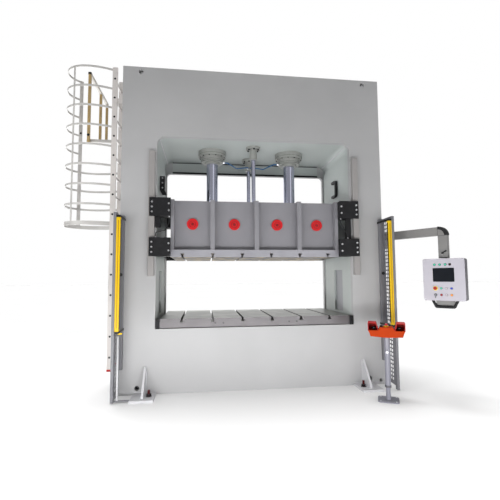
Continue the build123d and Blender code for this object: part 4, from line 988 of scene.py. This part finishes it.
def pendant_bezels():
    """Steel rings round the push buttons, black rings round the lamps and the key."""
    bright = bmesh.new()
    for x in BUTTON_COLUMNS:
        for drop in (UPPER_ROW, LOWER_ROW):
            ring(bright, pendant_matrix(x, drop), inner=12.6, outer=15.4, height=2.5)
    add_piece("button_bezels", bright, bezel_steel, "pendant")
    dark = bmesh.new()
    for x in LAMP_COLUMNS:
        ring(dark, pendant_matrix(x, LAMP_DROP), inner=12.8, outer=16, height=4)
    ring(dark, pendant_matrix(STOP_COLUMN, LOWER_ROW), inner=14.5, outer=18, height=3)
    add_piece("lamp_bezels", dark, black_abs, "pendant")


def pendant_estop_ring():
    """The yellow backing ring of the emergency stop."""
    mesh = bmesh.new()
    ring(mesh, pendant_matrix(STOP_COLUMN, UPPER_ROW), inner=12.8, outer=28, height=5)
    add_piece("pendant_estop_ring", mesh, yellow_abs, "pendant")


def dark_lamp():
    """The unlit red lens of the fourth lamp."""
    profile = [(12.6, 0), (12.6, 8), (10.4, 10), (3, 10.6)]
    mesh = bmesh.new()
    turned(mesh, profile, pendant_matrix(LAMP_COLUMNS[-1], LAMP_DROP), segments=40)
    add_piece("fourth_lamp_lens", mesh, lens_dark, "pendant")


def pendant_bands():
    """The gasket line behind the pendant's front, and the darker sleeve of its side: a two-tone housing that
    also carries painted shade on the sides.
    """
    middle = pendant_matrix(0, PENDANT_SIZE[1] / 2)
    gasket = bmesh.new()
    rounded_band(gasket, middle, PENDANT_SIZE, PENDANT_CORNER, start=-12, end=-8, proud=0.8)
    add_piece("pendant_gasket", gasket, rubber, "pendant")
    side = bmesh.new()
    # Partly painted shade: the dark sleeve also stands for the shade on the housing's sides
    rounded_band(side, middle, PENDANT_SIZE, PENDANT_CORNER, start=-168, end=-13, proud=1.2)
    add_piece("pendant_side_sleeve", side, enamel["box side"], "pendant")


def pendant_grip():
    """The rubber grip along the handle under the pendant, and the grey plate behind it."""
    behind_face = -40
    path = [(-138, 522), (-102, 599), (102, 599), (138, 522)]
    grip = bmesh.new()
    for (x, drop), (next_x, next_drop) in zip(path, path[1:]):
        bar = Vector((next_x - x, 0, drop - next_drop))
        profile = [(13, -4), (16.5, 0), (16.5, bar.length), (13, bar.length + 4)]
        turned(grip, profile, pendant_matrix(x, drop, behind_face, bar.normalized()), segments=20)
    add_piece("pendant_grip", grip, rubber, "pendant")
    upside_down = pendant_matrix(0, 0) @ Matrix.Rotation(pi, 4, "Z")
    plate = bmesh.new()
    bevelled_box(plate, (-108, 520.5, -66), (108, 590, -60), edge=2, matrix=upside_down)
    add_piece("pendant_handle_plate", plate, enamel["arm"], "pendant")


def pendant_screws():
    """Small bright screws in the corners of the pendant's front."""
    screws = bmesh.new()
    for x in (-216, 216):
        for drop in (20, PENDANT_SIZE[1] - 20):
            socket_screw(screws, pendant_matrix(x, drop), radius=4.5)
    add_piece("pendant_screws", screws, zinc, "pendant")


def screen_frame():
    """The black frame round the pendant's screen."""
    bezel = bmesh.new()
    rounded_band(bezel, pendant_matrix(0, 202), (237, 168), 6, start=0, end=4.6, proud=1.2)
    add_piece("screen_frame", bezel, black_abs, "pendant")


def arm_seams():
    """Dark joint lines round the arm at its elbow and drop tube, and the black cap's lips on the elbow."""
    half_width = 30.6
    drop_tube = (750.4, 861.6)
    elbow = (751, 1990)
    lip_inner, lip_outer, lip_width = 80, 111, 1.5
    lip_steps = 12
    spin = Matrix.Rotation(radians(ARM_TURN), 4, "Z")
    pivot = Matrix.Translation(Vector((*ARM_SWIVEL, 0)) * MM) @ spin
    mesh = bmesh.new()
    bevelled_box(mesh, (749, -half_width, 1989.4), (752, half_width, 2100.6), edge=0.4, matrix=pivot)
    for bottom, top in ((1985, 1988), (1703.5, 1709)):
        bevelled_box(mesh, (drop_tube[0], -half_width, bottom), (drop_tube[1], half_width, top),
                     edge=0.4, matrix=pivot)
    for across in (-31.4, 29.9):
        section = ((lip_inner, across), (lip_outer, across),
                   (lip_outer, across + lip_width), (lip_inner, across + lip_width))
        loops = []
        for step in range(lip_steps + 1):
            angle = pi / 2 * step / lip_steps
            points = [Vector((elbow[0] + r * cos(angle), y, elbow[1] + r * sin(angle))) for r, y in section]
            loops.append([mesh.verts.new(pivot @ (point * MM)) for point in points])
        join_loops(mesh, loops)
        mesh.faces.new(loops[0])
        mesh.faces.new(loops[-1])
    add_piece("arm_seams", mesh, rubber, "swivel_arm")


guide_block_screws()
disc_rings()
rod_flange_screws()
lubrication_nuts()
main_cylinder_fittings()
balance_flange_screws()
drain_tube_nuts()
liner_welds()
rear_panel()
foot_welds()
bolster_set_screws()
end_block_screws()
wall_block_bolts()
painted_shade_hole_cups()
wall_opening_plates()
anchor_threads()
bracket_bolts()
lifting_plugs()
rung_plugs()
cage_bolts()
exit_rail_fittings()
curtain_optics()
curtain_screws()
guard_floor_bars()
console_fittings()
pendant_bezels()
pendant_estop_ring()
dark_lamp()
pendant_bands()
pendant_grip()
pendant_screws()
screen_frame()
arm_seams()

# Stage, in metres: the camera sees white behind the press; all other rays get the real levels
FLOOR_SIZE = 80
FLOOR_LIFT = 0.2
FLOOR_PATCH_MM = 4000
AMBIENT = 0.22
MIRRORED = 0.16
MIRRORED_BEHIND = 1.1
STRIP_SIDE = 0.36
STRIP_CORE = 0.05
STRIP_EDGE = 0.15
STRIP_LEVEL = 0.8
WHITE = (1, 1, 1, 1)

floor_mesh = bmesh.new()
bmesh.ops.create_grid(floor_mesh, x_segments=2, y_segments=2, size=FLOOR_SIZE)
floor_data = bpy.data.meshes.new("floor")
floor_mesh.to_mesh(floor_data)
floor_mesh.free()
floor_material, floor_tree, floor_shader = new_material("pale studio floor", {
    "Roughness": 1, "Specular IOR Level": 0, "Emission Color": WHITE})
tint(floor_tree, floor_shader, FLOOR_PALE, 0.99, 1.01, noise(floor_tree, FLOOR_PATCH_MM, detail=1))
floor_data.materials.append(floor_material)
floor = bpy.data.objects.new("floor", floor_data)
bpy.context.scene.collection.objects.link(floor)


def seen_directly(tree, rays):
    """The socket that tells camera rays, and rays through glass, from all others."""
    return calculate(tree, "MAXIMUM", rays.outputs["Is Camera Ray"], rays.outputs["Is Transmission Ray"])


floor_seen = seen_directly(floor_tree, add_node(floor_tree, "ShaderNodeLightPath"))
lift = calculate(floor_tree, "MULTIPLY", floor_seen, FLOOR_LIFT)
floor_tree.links.new(lift, floor_shader.inputs["Emission Strength"])

world = bpy.data.worlds.new("studio")
bpy.context.scene.world = world
world.use_nodes = True
world_tree = world.node_tree
backdrop = world_tree.nodes["Background"]
world_rays = add_node(world_tree, "ShaderNodeLightPath")
base_level = add_node(world_tree, "ShaderNodeMapRange",
                      inputs={"Value": seen_directly(world_tree, world_rays), "To Min": AMBIENT,
                              "To Max": 1.0})
# Reflections see a brighter backdrop behind the press than in front of it, as in a white studio
world_place = add_node(world_tree, "ShaderNodeTexCoord")
direction = add_node(world_tree, "ShaderNodeSeparateXYZ",
                     inputs={"Vector": world_place.outputs["Generated"]})
mirrored = add_node(world_tree, "ShaderNodeMapRange",
                    inputs={"Value": direction.outputs["Y"], "From Min": 0.6, "From Max": 1.0,
                            "To Min": MIRRORED, "To Max": MIRRORED_BEHIND})
# A tall bright strip in front, seen only in reflections, draws the highlight down the chromed rods
aside = calculate(world_tree, "SUBTRACT", direction.outputs["X"], STRIP_SIDE)
strip = add_node(world_tree, "ShaderNodeMapRange",
                 inputs={"Value": calculate(world_tree, "ABSOLUTE", aside), "From Min": STRIP_CORE,
                         "From Max": STRIP_EDGE, "To Min": STRIP_LEVEL, "To Max": 0})
in_front = calculate(world_tree, "LESS_THAN", direction.outputs["Y"], 0)
reflected = calculate(world_tree, "MULTIPLY_ADD",
                      strip.outputs["Result"], in_front, mirrored.outputs["Result"])
level = calculate(world_tree, "MULTIPLY_ADD",
                  world_rays.outputs["Is Glossy Ray"], reflected, base_level.outputs["Result"])
world_tree.links.new(level, backdrop.inputs["Strength"])
backdrop.inputs["Color"].default_value = WHITE


def softbox(name, place, target, size, power):
    """A rectangular area light of that width, height and power in watts, aimed at a place."""
    lamp_data = bpy.data.lights.new(name, "AREA")
    lamp_data.shape = "RECTANGLE"
    lamp_data.size, lamp_data.size_y = size
    lamp_data.energy = power
    lamp = bpy.data.objects.new(name, lamp_data)
    lamp.location = place
    lamp.rotation_euler = (Vector(target) - Vector(place)).to_track_quat("-Z", "Y").to_euler()
    bpy.context.scene.collection.objects.link(lamp)


def overhead_sun(strength, tilt, spread):
    """Broad, even light from above, for the floor's brightness and the soft shadows under the press."""
    sun_data = bpy.data.lights.new("skylight", "SUN")
    sun_data.energy = strength
    sun_data.angle = spread
    sun = bpy.data.objects.new("skylight", sun_data)
    sun.rotation_euler = tilt
    bpy.context.scene.collection.objects.link(sun)


overhead_sun(3.4, tilt=(radians(-9), radians(-4), 0), spread=radians(30))
softbox("low front softbox", (-0.3, -3.7, 0.2), target=(0.4, 0, 0.35), size=(5.4, 0.3), power=104)
softbox("left softbox", (-4.8, -3.2, 2.2), target=(0.8, 0, 1.6), size=(1.5, 3), power=56)
softbox("rear left softbox", (-4.6, 4.2, 2.0), target=(1.0, 0, 2.2), size=(2.5, 3), power=150)
softbox("right softbox", (5.2, -4.0, 0.9), target=(0.9, 0, 0.7), size=(2, 1.5), power=34)

# Camera, solved from the photo's straight edges: place in metres, turns in radians, lens in mm
CAMERA_PLACE = (-0.721, -5.517, 1.481)
CAMERA_YAW = 0.1263
CAMERA_PITCH = 0.0738
CAMERA_ROLL = -0.0068
CAMERA_LENS = 26.4
SENSOR_WIDTH = 36
camera_data = bpy.data.cameras.new("photo camera")
camera_data.sensor_width = SENSOR_WIDTH
camera_data.lens = CAMERA_LENS
camera = bpy.data.objects.new("photo camera", camera_data)
camera.location = CAMERA_PLACE
camera.rotation_mode = "QUATERNION"
turn = Matrix.Rotation(-CAMERA_YAW, 3, "Z") @ Matrix.Rotation(pi / 2 + CAMERA_PITCH, 3, "X")
camera.rotation_quaternion = (turn @ Matrix.Rotation(CAMERA_ROLL, 3, "Z")).to_quaternion()
bpy.context.scene.collection.objects.link(camera)
bpy.context.scene.camera = camera
bpy.context.scene.view_settings.view_transform = "Standard"
